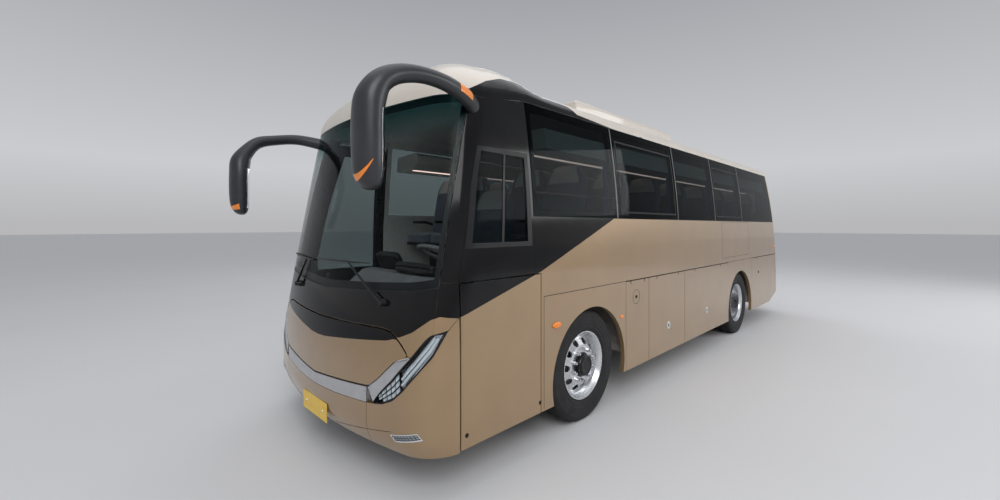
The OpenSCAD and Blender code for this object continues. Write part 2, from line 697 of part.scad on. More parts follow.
module door_arm() {
    color(steel) at_axle() right() {
        translate([arm_x, arm_y - 10, 380 + fit]) cylinder(r = 24, h = 860);
        for (z = [800, 1110]) {
            translate([arm_tip_x, arm_tip_y, z - 50]) cylinder(r = 14, h = 86);
            translate([0, 0, z - 50]) linear_extrude(36) polygon([[arm_x, arm_y - 34],
                [arm_x, arm_y + 14], [arm_tip_x - 14, arm_tip_y + 20], [arm_tip_x - 14,
                arm_tip_y - 24]]);
        }
    }
}

// Roof: a loft from the edge of the glass to the ridge
dome_front = 620;
dome_back = -110;
roof_levels = 8;
front_steps = 10;
side_steps = 17;
rise_steps = 3;
rear_steps = 8;
ridge_rear = rear_x + 900;
function smooth(t) = let (u = min(1, max(0, t))) u * u * (3 - 2 * u);
pillar_x = skin(0, pillar_s, screen_top, 0)[0];
function edge_z(x) = screen_top + seam + (glass_top - screen_top)
    * min(1, max(0, (pillar_x - x) / (pillar_x - driver_x)));
function dome_h(x) = roof_rise + (dome_rise - roof_rise) * smooth((x - dome_back) / 560);
function dome_n(x) = 2.5 - 0.5 * smooth((x - dome_back) / 560);
// Stations of the left edge, from the middle of the front to the middle of the rear
function edge_point(i, d) = i <= front_steps
    ? let (s = i / front_steps * side_s(0, screen_top), p = skin(0, s, screen_top + seam, d))
        [p[0], p[1], edge_z(p[0])]
    : i <= front_steps + side_steps
    ? let (k = i - front_steps, x = k <= rise_steps
        ? span(k / rise_steps, side_x(0, screen_top), driver_x)
        : span((k - rise_steps) / (side_steps - rise_steps), driver_x, side_x(1, glass_top)))
        [x, half_at(edge_z(x)) - d, edge_z(x)]
    : let (s = (1 - (i - front_steps - side_steps) / rear_steps) * side_s(1, glass_top),
        p = skin(1, s, glass_top + seam, d)) p;
function ridge_x(i) = i <= front_steps ? dome_front - 8 * i
    : i <= front_steps + side_steps
    ? let (t = (i - front_steps) / side_steps) (dome_front - 8 * front_steps) * (1 - t) + ridge_rear * t
    : ridge_rear - 8 * (i - front_steps - side_steps);
function roof_point(i, k, d) = let (q = cos(90 * k / roof_levels), e = edge_point(i, d), x = ridge_x(i),
    n = dome_n(x), rise = (dome_h(x) - d) * pow(1 - pow(q, n), 1 / n))
    [x + (e[0] - x) * q, e[1] * q, e[2] + rise];
module roof() {
    last = front_steps + side_steps + rear_steps;
    loop = 2 * last;
    function mirror_i(i) = i <= last ? i : loop - i;
    function shell(d) = concat([for (k = [0 : roof_levels - 1]) for (i = [0 : loop - 1])
        let (p = roof_point(mirror_i(i), k, d)) [p[0], i <= last ? p[1] : -p[1], p[2]]],
        [for (i = [0 : last]) let (p = roof_point(i, roof_levels, d)) [p[0], 0, p[2]]]);
    m = loop * roof_levels + last + 1;
    function at(k, i) = k < roof_levels ? k * loop + i % loop
        : loop * roof_levels + mirror_i(i % loop);
    top = [for (k = [0 : roof_levels - 1]) for (i = [0 : loop - 1])
        each [[at(k, i), at(k, i + 1), at(k + 1, i + 1)], [at(k, i), at(k + 1, i + 1), at(k + 1, i)]]];
    rim = [for (i = [0 : loop - 1]) each [[at(0, i), m + at(0, i), m + at(0, i + 1)],
        [at(0, i), m + at(0, i + 1), at(0, i + 1)]]];
    color("#d8cfbd") at_axle() polyhedron(concat(shell(0), shell(wall)),
        concat([for (f = top) [f[2], f[1], f[0]]], [for (f = top) [m + f[0], m + f[1], m + f[2]]],
        [for (f = rim) [f[2], f[1], f[0]]]));
}
aircon_front = -430;
aircon_len = 2330;
aircon_half = 800;
aircon_rise = 150;
function plain_roof(y) = glass_top + seam + roof_rise
    * pow(1 - pow(y / half_at(glass_top), 2.5), 1 / 2.5);
module roof_aircon() {
    ys = [for (k = [-8 : 8]) aircon_half * k / 8];
    x1 = aircon_front;
    x0 = aircon_front - aircon_len;
    top = glass_top + roof_rise + aircon_rise;
    color("#d8cfbd") at_axle() intersection() {
        translate([x0, 0, 0]) rotate([90, 0, 90]) linear_extrude(aircon_len)
            polygon(concat([for (y = ys) [y, plain_roof(abs(y)) + 0.7]],
            [[aircon_half, top - 75], [aircon_half - 40, top - 32], [aircon_half - 150, top - 8],
            [300, top], [-300, top], [150 - aircon_half, top - 8], [40 - aircon_half, top - 32],
            [-aircon_half, top - 75]]));
        xz_prism([[x0, glass_top], [x1, glass_top], [x1, top - 60], [x1 - 180, top],
            [x0 + 160, top], [x0, top - 90]], -half, half);
    }
}

// Front: edges of the panels as heights along the skin
function sym(s, table) = lookup(abs(s), table);
band_low = [[0, 528], [350, 540], [660, 560], [712, 563]];
band_high = [[0, 610], [350, 638], [660, 662], [730, 668], [815, 727], [962, 866], [1050, 893]];
flap_high = [[0, 1036], [800, 1052], [880, 1040], [930, 1017], [1000, 970], [1050, 925]];
lamp_in = [[783, 585], [850, 662], [946, 753], [1020, 838], [1082, 908], [1159, 1016], [1194, 1051]];
lamp_out = [[786, 573], [871, 588], [965, 629], [1049, 702], [1147, 821], [1228, 921], [1300, 1072]];
mask_low = [[0, 1036], [800, 1052], [880, 1040], [930, 1017], [1000, 970], [1060, 916],
    [1082, 909], [1159, 1017], [1194, 1056], [1302, 1079], [1330, 1115], [1360, 1146], [1440, 1153]];
corner_high = [[712, 563], [786, 572], [871, 587], [965, 628], [1049, 701], [1147, 820],
    [1228, 920], [1300, 1071], [1330, 1114], [1360, 1145], [1440, 1152]];
screen_base = [[0, 1255], [610, 1285], [1000, 1312], [1205, 1345]];
function span(a, s0, s1) = s0 + a * (s1 - s0);
flap_half = 1045;
front_cells = 80;
module windscreen() {
    side = screen_half - 2 * seam;
    color(glass_c) at_axle() skin_panel(0, function (a) let (s = span(a, -side, side))
        [s, sym(s, screen_base) + 2 * seam], function (a) [span(a, -side, side), screen_top],
        front_cells, 4, screen_t);
}
pillar_low = flap_top_z;
module front_mask() {
    side_low = s_at(0, flap_front_x, 1147);
    side_high = s_at(0, flap_front_x, pillar_low);
    color(black) at_axle() {
        skin_panel(0, function (a) let (s = span(a, -screen_half, screen_half))
            [s, sym(s, mask_low) + (abs(s) < 1062 ? door_gap + 4 : 2.5)],
            function (a) let (s = span(a, -screen_half, screen_half)) [s, sym(s, screen_base)],
            front_cells, 2, wall);
        both() {
            skin_panel(0, function (a) let (s = span(a, screen_half + seam, side_low))
                [s, sym(s, mask_low) + 0.6], function (a) [span(a, screen_half + seam, side_high - 1),
                pillar_low], 20, 2, wall);
            skin_panel(0, function (a) [span(a, screen_half + seam, pillar_s), pillar_low + seam],
                function (a) [span(a, screen_half + seam, pillar_s), screen_top], 3, 6, wall);
        }
    }
}
bumper_half = 712;
fog = [[988, 373], [1194, 416], [945, 413], [1155, 459]];
module fog_panel(m, t, d0) {
    skin_panel(0, function (a) fog[0] * (1 - a) + fog[1] * a + [(2 * a - 1) * m, -m],
        function (a) fog[2] * (1 - a) + fog[3] * a + [(2 * a - 1) * m, m], 4, 2, t, d0);
}
bumper_low = skirt_z - 10;
module front_bumper() {
    color(paint) at_axle() {
        skin_panel(0, function (a) [span(a, -bumper_half, bumper_half), bumper_low],
            function (a) let (s = span(a, -bumper_half, bumper_half)) [s, sym(s, band_low)],
            16, 3, wall);
        both() difference() {
            skin_panel(0, function (a) [span(a, bumper_half + seam,
                s_at(0, flap_front_x, skirt_z) - seam), bumper_low],
                function (a) let (s = span(a, bumper_half + seam, s_at(0, flap_front_x, 1146) - seam))
                [s, sym(s, corner_high) - 0.2], 56, 2, wall);
            fog_panel(2, wall + 40, -20);
        }
    }
}
module fog_lamps() { color("#dfe3e6") at_axle() both() fog_panel(0.5, 40, 2); }
module front_flap() {
    color(paint) at_axle() skin_panel(0, function (a) let (s = span(a, -flap_half, flap_half))
        [s, sym(s, band_high) + 1.5 * door_gap], function (a) let (s = span(a, -flap_half, flap_half))
        [s, sym(s, flap_high)], 28, 4, flap_t);
}
function along(a, table) = let (n = len(table) - 1, k = min(n - 1, floor(a * n)), f = a * n - k)
    table[k] * (1 - f) + table[k + 1] * f;
band_wing = [[731, 668], [815, 727], [880, 790], [962, 866], [1010, 882], [1050, 893]];
module bright_band() {
    color(bright) at_axle() {
        skin_panel(0, function (a) let (s = span(a, -bumper_half, bumper_half))
            [s, sym(s, band_low) + seam], function (a) let (s = span(a, -bumper_half, bumper_half))
            [s, sym(s, band_high)], 16, 2, 30);
        both() skin_panel(0, function (a) along(a * 0.66, lamp_in),
            function (a) along(a, band_wing), 8, 2, 30);
    }
}
module headlamps() {
    color("#dfe3e6") at_axle() both() skin_panel(0, function (a) along(a, lamp_out) + [-0.5, 0.5],
        function (a) along(a, lamp_in) + [0.3, -0.5], 18, 2, 60);
}
// Strip on the windscreen between two places, standing off the glass
module strip(p, q, w, off, t) {
    n = [p[1] - q[1], q[0] - p[0]] * w / 2 / norm(q - p);
    skin_panel(0, function (a) p * (1 - a) + q * a - n, function (a) p * (1 - a) + q * a + n,
        5, 1, t, -off - t);
}
module wiper(pivot, bend, tip) {
    strip(pivot, bend, 26, 22, 12);
    strip(bend, tip, 22, 4, 26);
    lean = atan(front_rake);
    translate(skin(0, pivot[0], pivot[1], -34)) rotate([0, -90 - lean, pivot[0] / front_bow * deg])
        cylinder(r = 20, h = 34 * cos(lean) - fit);
}
module wipers() {
    color(black) at_axle() {
        wiper([780, 1225], [305, 1480], [-270, 1472]);
        wiper([-640, 1225], [-490, 1455], [-1020, 1475]);
    }
}
module loft(stations, n) {
    pts = [for (q = stations) for (k = [0 : n - 1]) q[0] + q[1] * cos(k * 360 / n)
        + q[2] * sin(k * 360 / n)];
    m = len(stations);
    polyhedron(pts, concat([[for (k = [0 : n - 1]) k]],
        [[for (k = [n - 1 : -1 : 0]) (m - 1) * n + k]],
        [for (j = [0 : m - 2]) for (k = [0 : n - 1]) let (a = j * n + k, b = j * n + (k + 1) % n)
            each [[a, a + n, b + n], [a, b + n, b]]]));
}
mirror_drop = 90;
module mirror_body(drop) {
    x = mirror_reach - 82;
    y = mirror_y - 105;
    z = screen_top;
    difference() {
        loft([[[1225, 1100, z - 90], [0, 0, 70], [-20, 30, 0]], [[1400, 1180, z - 45], [0, 0, 58],
            [-20, 42, 0]], [[x - 528, y + 15, z - 20], [0, 0, 50], [-8, 46, 0]],
            [[x - 328, y + 37, z - 20 - drop / 3], [8, 0, 48], [0, 50, 0]],
            [[x - 168, y + 37, z - 53 - drop / 2], [22, 0, 50], [0, 60, 0]],
            [[x - 63, y + 25, z - 115 - drop], [48, 0, 45], [0, 80, 0]],
            [[x - 13, y + 10, z - 205 - drop], [80, 0, 20], [0, 95, 0]],
            [[x, y, z - 315 - drop], [82, 0, 0], [0, 105, 0]],
            [[x, y, z - 495 - drop], [82, 0, 0], [0, 105, 0]],
            [[x - 3, y, z - 615 - drop], [74, 0, 0], [0, 98, 0]],
            [[x - 13, y, z - 685 - drop], [50, 0, 0], [0, 75, 0]],
            [[x - 20, y, z - 710 - drop], [18, 0, 0], [0, 30, 0]]], 16);
        skin_panel(0, function (a) [span(a, 1150, 1420), z - 295], function (a) [span(a, 1150, 1420),
            z + 75], 6, 3, 150, -1.5);
    }
}
module mirrors() {
    color(black) at_axle() {
        mirror_body(0);
        right() mirror_body(mirror_drop);
    }
}

// Rear
rear_low = 620;
rear_edge = 430;
window_s = 930;
window_low = 1960;
window_top = 2600;
lamp_s = [860, 1120];
lamp_z = [780, 1480];
// Panel of the rear between two lengths and two heights
module rear_patch(s0, s1, z0, z1, na, nb, t, d0) {
    skin_panel(1, function (a) [span(a, s0, s1), z0], function (a) [span(a, s0, s1), z1],
        na, nb, t, d0);
}
module rear_panel() {
    color(paint) at_axle() difference() {
        skin_panel(1, function (a) let (z = span(a, rear_low, glass_top)) [-side_s(1, z), z],
            function (a) let (z = span(a, rear_low, glass_top)) [side_s(1, z), z], 10, 36, wall,
            flip = true);
        rear_patch(-hatch_half, hatch_half, hatch_low, hatch_top, 12, 4, wall + 60, -30);
        rear_patch(-window_s, window_s, window_low, window_top, 12, 3, wall + 60, -30);
        both() rear_patch(lamp_s[0], lamp_s[1], lamp_z[0], lamp_z[1], 5, 3, wall + 60, -30);
    }
}
module rear_glass() {
    color(glass_c) at_axle() rear_patch(3 - window_s, window_s - 3, window_low + 3,
        window_top - 3, 12, 3, glass_t, 4);
}
module rear_bumper() {
    color(paint) at_axle() skin_panel(1, function (a) let (z = span(a, rear_edge, rear_low - seam))
        [-side_s(1, z), z], function (a) let (z = span(a, rear_edge, rear_low - seam))
        [side_s(1, z), z], 2, 36, wall, flip = true);
}
module engine_hatch() {
    g = door_gap + 2;
    color(paint) at_axle() rear_patch(g - hatch_half, hatch_half - g, hatch_low + g,
        hatch_top - g - 4, 14, 5, 28, 0);
}
module rear_lamps() {
    color("#9c1a17") at_axle() both() rear_patch(lamp_s[0] + seam, lamp_s[1] - seam,
        lamp_z[0] + seam, lamp_z[1] - seam, 5, 3, 40, 0);
}
module side_markers() {
    color("#e38a1c") at_axle() both() {
        block(491 - 55, 491 + 55, half + 0.4, half + 15, 940 - 24, 940 + 24);
        block(-555 - 30, -555 + 30, half + 0.4, half + 8, 852 - 16, 852 + 16);
        block(rear_x + 640 - 45, rear_x + 640 + 45, half + 0.4, half + 12, 1344 - 18, 1344 + 18);
    }
}
front_plate_z = 352;
module plate(x, z) {
    difference() {
        block(x, x + plate_t, -plate_w / 2, plate_w / 2, z - plate_h / 2, z + plate_h / 2);
        for (y = [-plate_pitch / 2, plate_pitch / 2])
            translate([x - 5, y, z]) rotate([0, 90, 0]) cylinder(r = plate_hole_r, h = 20, $fn = 24);
    }
}
module number_plates() {
    color("#e3b722") at_axle()
        plate(end_x(0, front_plate_z + plate_h / 2) - 1.8, front_plate_z);
}

// Cabin
module seat_one() {
    xz_prism([[450, 335], [468, 420], [440, 458], [120, 440], [-30, 1000], [-60, 1125], [-120, 1140],
        [-172, 1100], [-60, 400], [0, 335]], -seat_w / 2, seat_w / 2);
}
first_row = -60;
seat_y = [deck_y - 80 - seat_w / 2, deck_y - 90 - 1.5 * seat_w];
driver_seat = [640, 600];
module seats() {
    color("#55585e") at_axle() {
        for (k = [0 : seat_rows - 1]) both() {
            for (y = seat_y) translate([first_row - k * seat_pitch, y, floor_z]) seat_one();
            translate([first_row - k * seat_pitch, 0, floor_z])
                block(100, 330, seat_y[1] - 60, seat_y[0] - 100, 0, 335);
        }
        translate([driver_seat[0], driver_seat[1], driver_z - 20]) seat_one();
        block(driver_seat[0] + 60, driver_seat[0] + 340, driver_seat[1] - 150, driver_seat[1] + 150,
            driver_z, driver_z + 315);
    }
}
wheel_c = [1110, 600, 1500];
wheel_tilt = -22;
module dashboard() {
    color("#3a3c40") at_axle() {
        xz_prism([[1300, driver_z], [1360, driver_z], [1470, 1180], [1560, 1190], [1560, 1270],
            [1440, 1365], [1360, 1375], [1255, 1330], [1250, 1290], [1300, 1200]], -150, 1060);
        translate(wheel_c) rotate([0, wheel_tilt, 0]) translate([0, 0, -520])
            cylinder(r = 35, h = 520 - 20 - fit);
    }
}
module steering_wheel() {
    color(black) at_axle() translate(wheel_c) rotate([0, wheel_tilt, 0]) {
        rotate_extrude() translate([225, 0]) circle(r = 16, $fn = 20);
        translate([0, 0, -20]) cylinder(r = 60, h = 36);
        for (k = [0 : 2]) rotate(k * 120) block(40, 222, -16, 16, -9, 9);
    }
}
rack_low = glass_top - 330;
module luggage_racks() {
    outer = function (z) half_at(z) - wall - 0.5;
    color("#b9b6ae") at_axle() both() translate([pane_x[5] + 150, 0, 0]) rotate([90, 0, 90])
        linear_extrude(pane_x[0] - pane_x[5] - 420)
        polygon([[outer(rack_low), rack_low], [outer(rack_low + 170), rack_low + 170],
            [760, rack_low + 190], [700, rack_low + 150], [720, rack_low + 60], [800, rack_low]]);
}
module curtains() {
    cw = 190;
    color("#5d6f95") at_axle() both() for (k = [1 : 4])
        block(pane_x[k] - cw / 2, pane_x[k] + cw / 2, half_at(rack_low) - wall - 21,
            half_at(rack_low) - wall - 2, belt_z - 60, rack_low - 0.5);
}

chassis_frame();
floor();
engine();
front_axle();
rear_axle();
knuckle_left();
knuckle_right();
track_rod();
rim_front_left();
rim_front_right();
rims_rear_left();
rims_rear_right();
tyre_front_left();
tyre_front_right();
tyres_rear_left();
tyres_rear_right();
wall_left();
wall_right();
skirt_panels();
roof();
roof_aircon();
side_glass();
windscreen();
front_mask();
front_bumper();
front_flap();
bright_band();
headlamps();
fog_lamps();
wipers();
mirrors();
rear_panel();
rear_glass();
rear_bumper();
engine_hatch();
rear_lamps();
side_markers();
number_plates();
side_flap_left();
filler_flap_left();
filler_flap_right();
luggage_door_left_1();
luggage_door_left_2();
luggage_door_right_1();
luggage_door_right_2();
rear_flap_left();
rear_flap_right();
plug_door();
plug_door_glass();
door_arm();
dashboard();
steering_wheel();
seats();
luggage_racks();
curtains();
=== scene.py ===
import json
from math import acos, asin, cos, exp, pi, radians, sin, sqrt

import bmesh
import bpy
from mathutils import Matrix, Vector

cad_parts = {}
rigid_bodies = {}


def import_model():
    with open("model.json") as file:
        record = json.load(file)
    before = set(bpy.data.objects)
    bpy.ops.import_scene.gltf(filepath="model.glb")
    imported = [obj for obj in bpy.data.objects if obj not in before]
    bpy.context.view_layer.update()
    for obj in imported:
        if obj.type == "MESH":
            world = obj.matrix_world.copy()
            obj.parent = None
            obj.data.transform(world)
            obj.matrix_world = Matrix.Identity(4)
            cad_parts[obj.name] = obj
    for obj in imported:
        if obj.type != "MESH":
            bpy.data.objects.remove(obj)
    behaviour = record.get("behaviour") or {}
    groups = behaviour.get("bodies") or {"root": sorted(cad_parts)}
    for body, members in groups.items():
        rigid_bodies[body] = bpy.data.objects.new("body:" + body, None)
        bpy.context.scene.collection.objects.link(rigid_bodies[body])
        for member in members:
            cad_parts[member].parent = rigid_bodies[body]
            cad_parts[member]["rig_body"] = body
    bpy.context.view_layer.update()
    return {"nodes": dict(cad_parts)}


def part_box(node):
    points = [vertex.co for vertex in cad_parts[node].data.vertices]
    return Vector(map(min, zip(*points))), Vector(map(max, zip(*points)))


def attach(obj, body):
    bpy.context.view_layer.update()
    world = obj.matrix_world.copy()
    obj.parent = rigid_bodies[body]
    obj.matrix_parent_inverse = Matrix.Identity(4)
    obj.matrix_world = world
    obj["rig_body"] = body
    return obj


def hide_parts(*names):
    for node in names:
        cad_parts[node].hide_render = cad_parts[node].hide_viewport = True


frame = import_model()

nodes = frame["nodes"]
ROOT = "coach_body"
SIDES = (1, -1)                      # left and right, as the sign of Y
scene = bpy.context.scene
low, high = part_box("tyre_front_left")
AX = (low.x + high.x) / 2            # front axle in the shared frame; sizes below are in mm from it

# Camera, fitted to the photograph; its place is in metres from the front axle
CAM_AT, CAM_HEADING = (3.265, 3.354, 1.740), radians(44.72)
CAM_LENS, CAM_SENSOR, CAM_SHIFT, CAM_END = 15.41, 36, -0.0242, 500
cam = bpy.data.objects.new("camera", bpy.data.cameras.new("camera"))
scene.collection.objects.link(cam)
cam.data.sensor_width, cam.data.lens = CAM_SENSOR, CAM_LENS
cam.data.shift_y, cam.data.clip_end = CAM_SHIFT, CAM_END
cam.location = (CAM_AT[0] + AX, *CAM_AT[1:])
heading = Vector((-cos(CAM_HEADING), -sin(CAM_HEADING), 0))
cam.rotation_euler = heading.to_track_quat("-Z", "Y").to_euler()
scene.camera = cam
scene.view_settings.view_transform = "Standard"

# Finishes
COAT_ROUGH, GLASS_ROUGH, GLASS_SPEC, EDGE_POWER = 0.04, 0.02, 0.6, 5


def add_node(tree, kind, **values):
    """New shader node with values on its sockets, whose names have _ for a blank."""
    n = tree.nodes.new("ShaderNode" + kind)
    for socket, value in values.items():
        n.inputs[socket.replace("_", " ")].default_value = value
    return n


def link(tree, a, ai, b, bi):
    tree.links.new(a.outputs[ai], b.inputs[bi])


def noise(tree, vec, scale, detail=3.0):
    n = add_node(tree, "TexNoise", Scale=scale, Detail=detail)
    link(tree, vec, 0, n, "Vector")
    return n


def ramp(tree, src, out, stops):
    r = add_node(tree, "ValToRGB")
    el = r.color_ramp.elements
    while len(el) < len(stops):
        el.new(0.5)
    for e, (at, color) in zip(el, stops):
        e.position, e.color = at, (*color, 1)
    link(tree, src, out, r, "Fac")
    return r


def shade(color, k):
    return tuple(min(1, v * k) for v in color)


def new_material(name, solid_view):
    mat = bpy.data.materials.new(name)
    mat.use_nodes = True
    mat.diffuse_color = solid_view
    return mat, mat.node_tree, mat.node_tree.nodes["Principled BSDF"]


def material(name, color, rough=0.5, metal=0.0, coat=0.0, vary=0.12, scale=6.0, rough_vary=0.08,
             bump_scale=0.0, bump_strength=0.2, bump_dist=0.001, spec=0.5, stretch=(1, 1, 1), sheen=0.0):
    """Procedural finish: colour and roughness drift with noise, fine bump at its own scale."""
    mat, tree, p = new_material(name, (*color, 1))
    for socket, value in (("Metallic", metal), ("Coat Weight", coat), ("Coat Roughness", COAT_ROUGH),
                          ("Specular IOR Level", spec), ("Sheen Weight", sheen)):
        p.inputs[socket].default_value = value
    vec = add_node(tree, "Mapping", Scale=stretch)
    link(tree, add_node(tree, "TexCoord"), "Object", vec, "Vector")
    drift = ramp(tree, noise(tree, vec, scale), "Fac",
                 [(0.3, shade(color, 1 - vary)), (0.7, shade(color, 1 + vary))])
    link(tree, drift, "Color", p, "Base Color")
    m = add_node(tree, "MapRange", To_Min=max(0.01, rough - rough_vary), To_Max=min(1, rough + rough_vary))
    link(tree, noise(tree, vec, scale * 2.3, 5), "Fac", m, "Value")
    link(tree, m, "Result", p, "Roughness")
    if bump_scale:
        b = add_node(tree, "Bump", Strength=bump_strength, Distance=bump_dist)
        link(tree, noise(tree, vec, bump_scale, 2), "Fac", b, "Height")
        link(tree, b, "Normal", p, "Normal")
    return mat


def glass(name, tint, base, opacity, shade_band=None):
    """Thin tinted glass: what is behind shows through, gloss grows towards the edge of sight."""
    mat, tree, p = new_material(name, (*tint, 0.4))
    for socket, value in (("Base Color", (*base, 1)), ("Roughness", GLASS_ROUGH),
                          ("Specular IOR Level", GLASS_SPEC)):
        p.inputs[socket].default_value = value
    clear = add_node(tree, "BsdfTransparent", Color=(*tint, 1))
    power, mix = add_node(tree, "Math"), add_node(tree, "MixShader")
    power.operation = "POWER"
    power.inputs[1].default_value = EDGE_POWER
    m = add_node(tree, "MapRange", To_Min=opacity)
    link(tree, add_node(tree, "LayerWeight"), "Facing", power, 0)
    link(tree, power, "Value", m, "Value")
    link(tree, m, "Result", mix, "Fac")
    link(tree, clear, 0, mix, 1)
    link(tree, p, 0, mix, 2)
    link(tree, mix, 0, tree.nodes["Material Output"], "Surface")
    if shade_band:
        z0, z1, dark = shade_band
        sep = add_node(tree, "SeparateXYZ")
        up = add_node(tree, "MapRange", From_Min=z0, From_Max=z1)
        link(tree, add_node(tree, "TexCoord"), "Object", sep, 0)
        link(tree, sep, "Z", up, "Value")
        link(tree, ramp(tree, up, "Result", [(0.0, tint), (1.0, dark)]), "Color", clear, "Color")
    return mat


# Name, colour, roughness, metal, coat, colour drift and its scale, roughness drift; then the scale,
# strength and depth of the bump, and the specular level
FINISHES = {
    "gold": ("champagne_paint", (0.325, 0.214, 0.112), 0.34, 0.45, 0.9, 0.045, 3.0, 0.04, 2400, 0.05, 0.0002),
    "roof": ("roof_paint", (0.58, 0.53, 0.465), 0.4, 0, 0.5, 0.03, 2.5, 0.05, 900, 0.04, 0.0002),
    "black": ("gloss_black", (0.006, 0.006, 0.0065), 0.1, 0, 0, 0.2, 4.0, 0.03, 700, 0.02, 0.0001, 0.22),
    "satin": ("satin_black", (0.009, 0.009, 0.01), 0.42, 0, 0, 0.25, 14, 0.1, 900, 0.18, 0.0004, 0.3),
    "rubber": ("tyre_rubber", (0.013, 0.013, 0.014), 0.74, 0, 0, 0.35, 9, 0.1, 260, 0.3, 0.0008, 0.35),
    "seal": ("rubber_seal", (0.007, 0.007, 0.0075), 0.6, 0, 0, 0.25, 30, 0.1, 500, 0.2, 0.0004, 0.25),
    "alloy": ("polished_aluminium", (0.66, 0.67, 0.69), 0.28, 1, 0, 0.06, 18, 0.07, 500, 0.06, 0.0002),
    "chrome": ("bright_metal", (0.78, 0.79, 0.8), 0.14, 1, 0, 0.04, 8, 0.05, 300, 0.03, 0.0001),
    "lock": ("lock_silver", (0.62, 0.62, 0.63), 0.4, 0.6, 0, 0.06, 12, 0.06, 600, 0.05, 0.0001),
    "trim": ("silver_trim", (0.5, 0.5, 0.51), 0.3, 0.8, 0, 0.06, 12, 0.06, 600, 0.05, 0.0001),
    "post": ("post_trim", (0.13, 0.13, 0.135), 0.34, 0.5, 0, 0.08, 12, 0.06, 600, 0.05, 0.0001),
    "shell": ("mirror_shell", (0.028, 0.029, 0.032), 0.36, 0, 0, 0.15, 6, 0.06, 900, 0.12, 0.0003, 0.4),
    "steel": ("painted_steel", (0.045, 0.046, 0.05), 0.5, 0.2, 0, 0.3, 7, 0.12, 130, 0.25, 0.001),
    "cast": ("cast_iron", (0.09, 0.088, 0.085), 0.62, 0.7, 0, 0.3, 12, 0.12, 160, 0.4, 0.0012),
    "engine": ("engine_grey", (0.2, 0.2, 0.19), 0.55, 0.5, 0, 0.25, 9, 0.12, 120, 0.35, 0.001),
    "floor": ("floor_board", (0.2, 0.185, 0.165), 0.6, 0, 0, 0.18, 25, 0.1, 300, 0.25, 0.0008),
    "cabin": ("cabin_plastic", (0.16, 0.16, 0.168), 0.55, 0, 0, 0.12, 8, 0.08, 650, 0.3, 0.0006),
    "rack": ("rack_plastic", (0.5, 0.48, 0.45), 0.5, 0, 0, 0.06, 5, 0.08, 700, 0.2, 0.0005),
    "lining": ("cabin_lining", (0.58, 0.57, 0.55), 0.75, 0, 0, 0.08, 30, 0.08, 450, 0.35, 0.0008),
    "plate": ("plate_yellow", (0.78, 0.5, 0.045), 0.4, 0, 0.2, 0.07, 20, 0.08, 400, 0.1, 0.0003),
    "amber": ("amber_lens", (0.85, 0.23, 0.015), 0.2, 0, 0.5, 0.12, 40, 0.05, 220, 0.25, 0.001),
    "red": ("red_lens", (0.42, 0.012, 0.012), 0.18, 0, 0.5, 0.15, 40, 0.05, 220, 0.3, 0.001),
    "white_lens": ("clear_lens", (0.7, 0.72, 0.74), 0.18, 0, 0.5, 0.08, 40, 0.05, 220, 0.3, 0.001),
    "mirror": ("mirror_glass", (0.85, 0.86, 0.87), 0.04, 1, 0, 0.02, 3, 0.02),
    "seat": ("seat_cloth", (0.14, 0.155, 0.2), 0.85, 0, 0, 0.35, 60, 0.06, 900, 0.5, 0.0012, 0.3),
    "cover": ("head_cover", (0.62, 0.6, 0.56), 0.8, 0, 0, 0.1, 50, 0.06, 1100, 0.4, 0.0008, 0.3),
    "curtain": ("curtain_cloth", (0.07, 0.19, 0.5), 0.85, 0, 0, 0.2, 50, 0.06, 1300, 0.4, 0.0006, 0.3),
    "glow": ("rack_light", (0.9, 0.78, 0.74), 0.4, 0, 0, 0.04, 20),
}
SHEEN = {"seat": 0.4, "cover": 0.3, "curtain": 0.3}
STRETCH = {"alloy": (1, 6, 1)}
M = {k: material(*row, sheen=SHEEN.get(k, 0.0), stretch=STRETCH.get(k, (1, 1, 1)))
     for k, row in FINISHES.items()}
M["glass"] = glass("side_tint", (0.44, 0.485, 0.49), (0.006, 0.008, 0.009), 0.05)
M["screen"] = glass("screen_glass", (0.9, 0.925, 0.92), (0.01, 0.013, 0.013), 0.04,
                    shade_band=(2.36, 2.56, (0.42, 0.66, 0.67)))
M["lens"] = glass("lamp_cover", (0.93, 0.95, 0.96), (0.02, 0.02, 0.02), 0.03)
glow = M["glow"].node_tree.nodes["Principled BSDF"].inputs
glow["Emission Color"].default_value = (1.0, 0.72, 0.66, 1)
glow["Emission Strength"].default_value = 1.3


# Body skin in mm, as in the part; pairs are for the front and the rear
FRONT, REAR, HALF = 1920.0, -7075.0, 1250.0
SKIRT, SILL, BELT, GTOP, STOP, FLAP_Z = 295.0, 1190.0, 1810.0, 2710.0, 2645.0, 1375.0
WALL, SEAM, GAP = 45.0, 0.6, 8.0
BOW, CORNER = (4500.0, 6000.0), (300.0, 320.0)
RAKE = ((0.1787, 600.0, 900.0), (0.2, 600.0, 1200.0))    # slope, and the heights where it starts and is full
TUCK, TUCK_Z = 40.0, 450.0           # the front draws in below this height
LEAN, LEAN_Z = 62.0, 1350.0          # the sides lean in above this height


def end_set(e, z):
    """Setback of the front (e = 0) or the rear (e = 1) at a height."""
    if e == 0 and z < TUCK_Z:
        return TUCK * ((TUCK_Z - z) / (TUCK_Z - SKIRT)) ** 2
    slope, z0, z1 = RAKE[e]
    if z < z0:
        return 0.0
    return slope / (2 * (z1 - z0)) * (z - z0) ** 2 if z < z1 else slope * (z - (z0 + z1) / 2)


def half_at(z):
    return HALF - LEAN * (max(0, z - LEAN_Z) / 1000) ** 2


def end_x(e, z):
    return FRONT - end_set(0, z) if e == 0 else REAR + end_set(1, z)


def turn(e, z):
    return asin((half_at(z) - CORNER[e]) / (BOW[e] - CORNER[e]))


def side_s(e, z):
    t = turn(e, z)
    return BOW[e] * t + CORNER[e] * (pi / 2 - t)


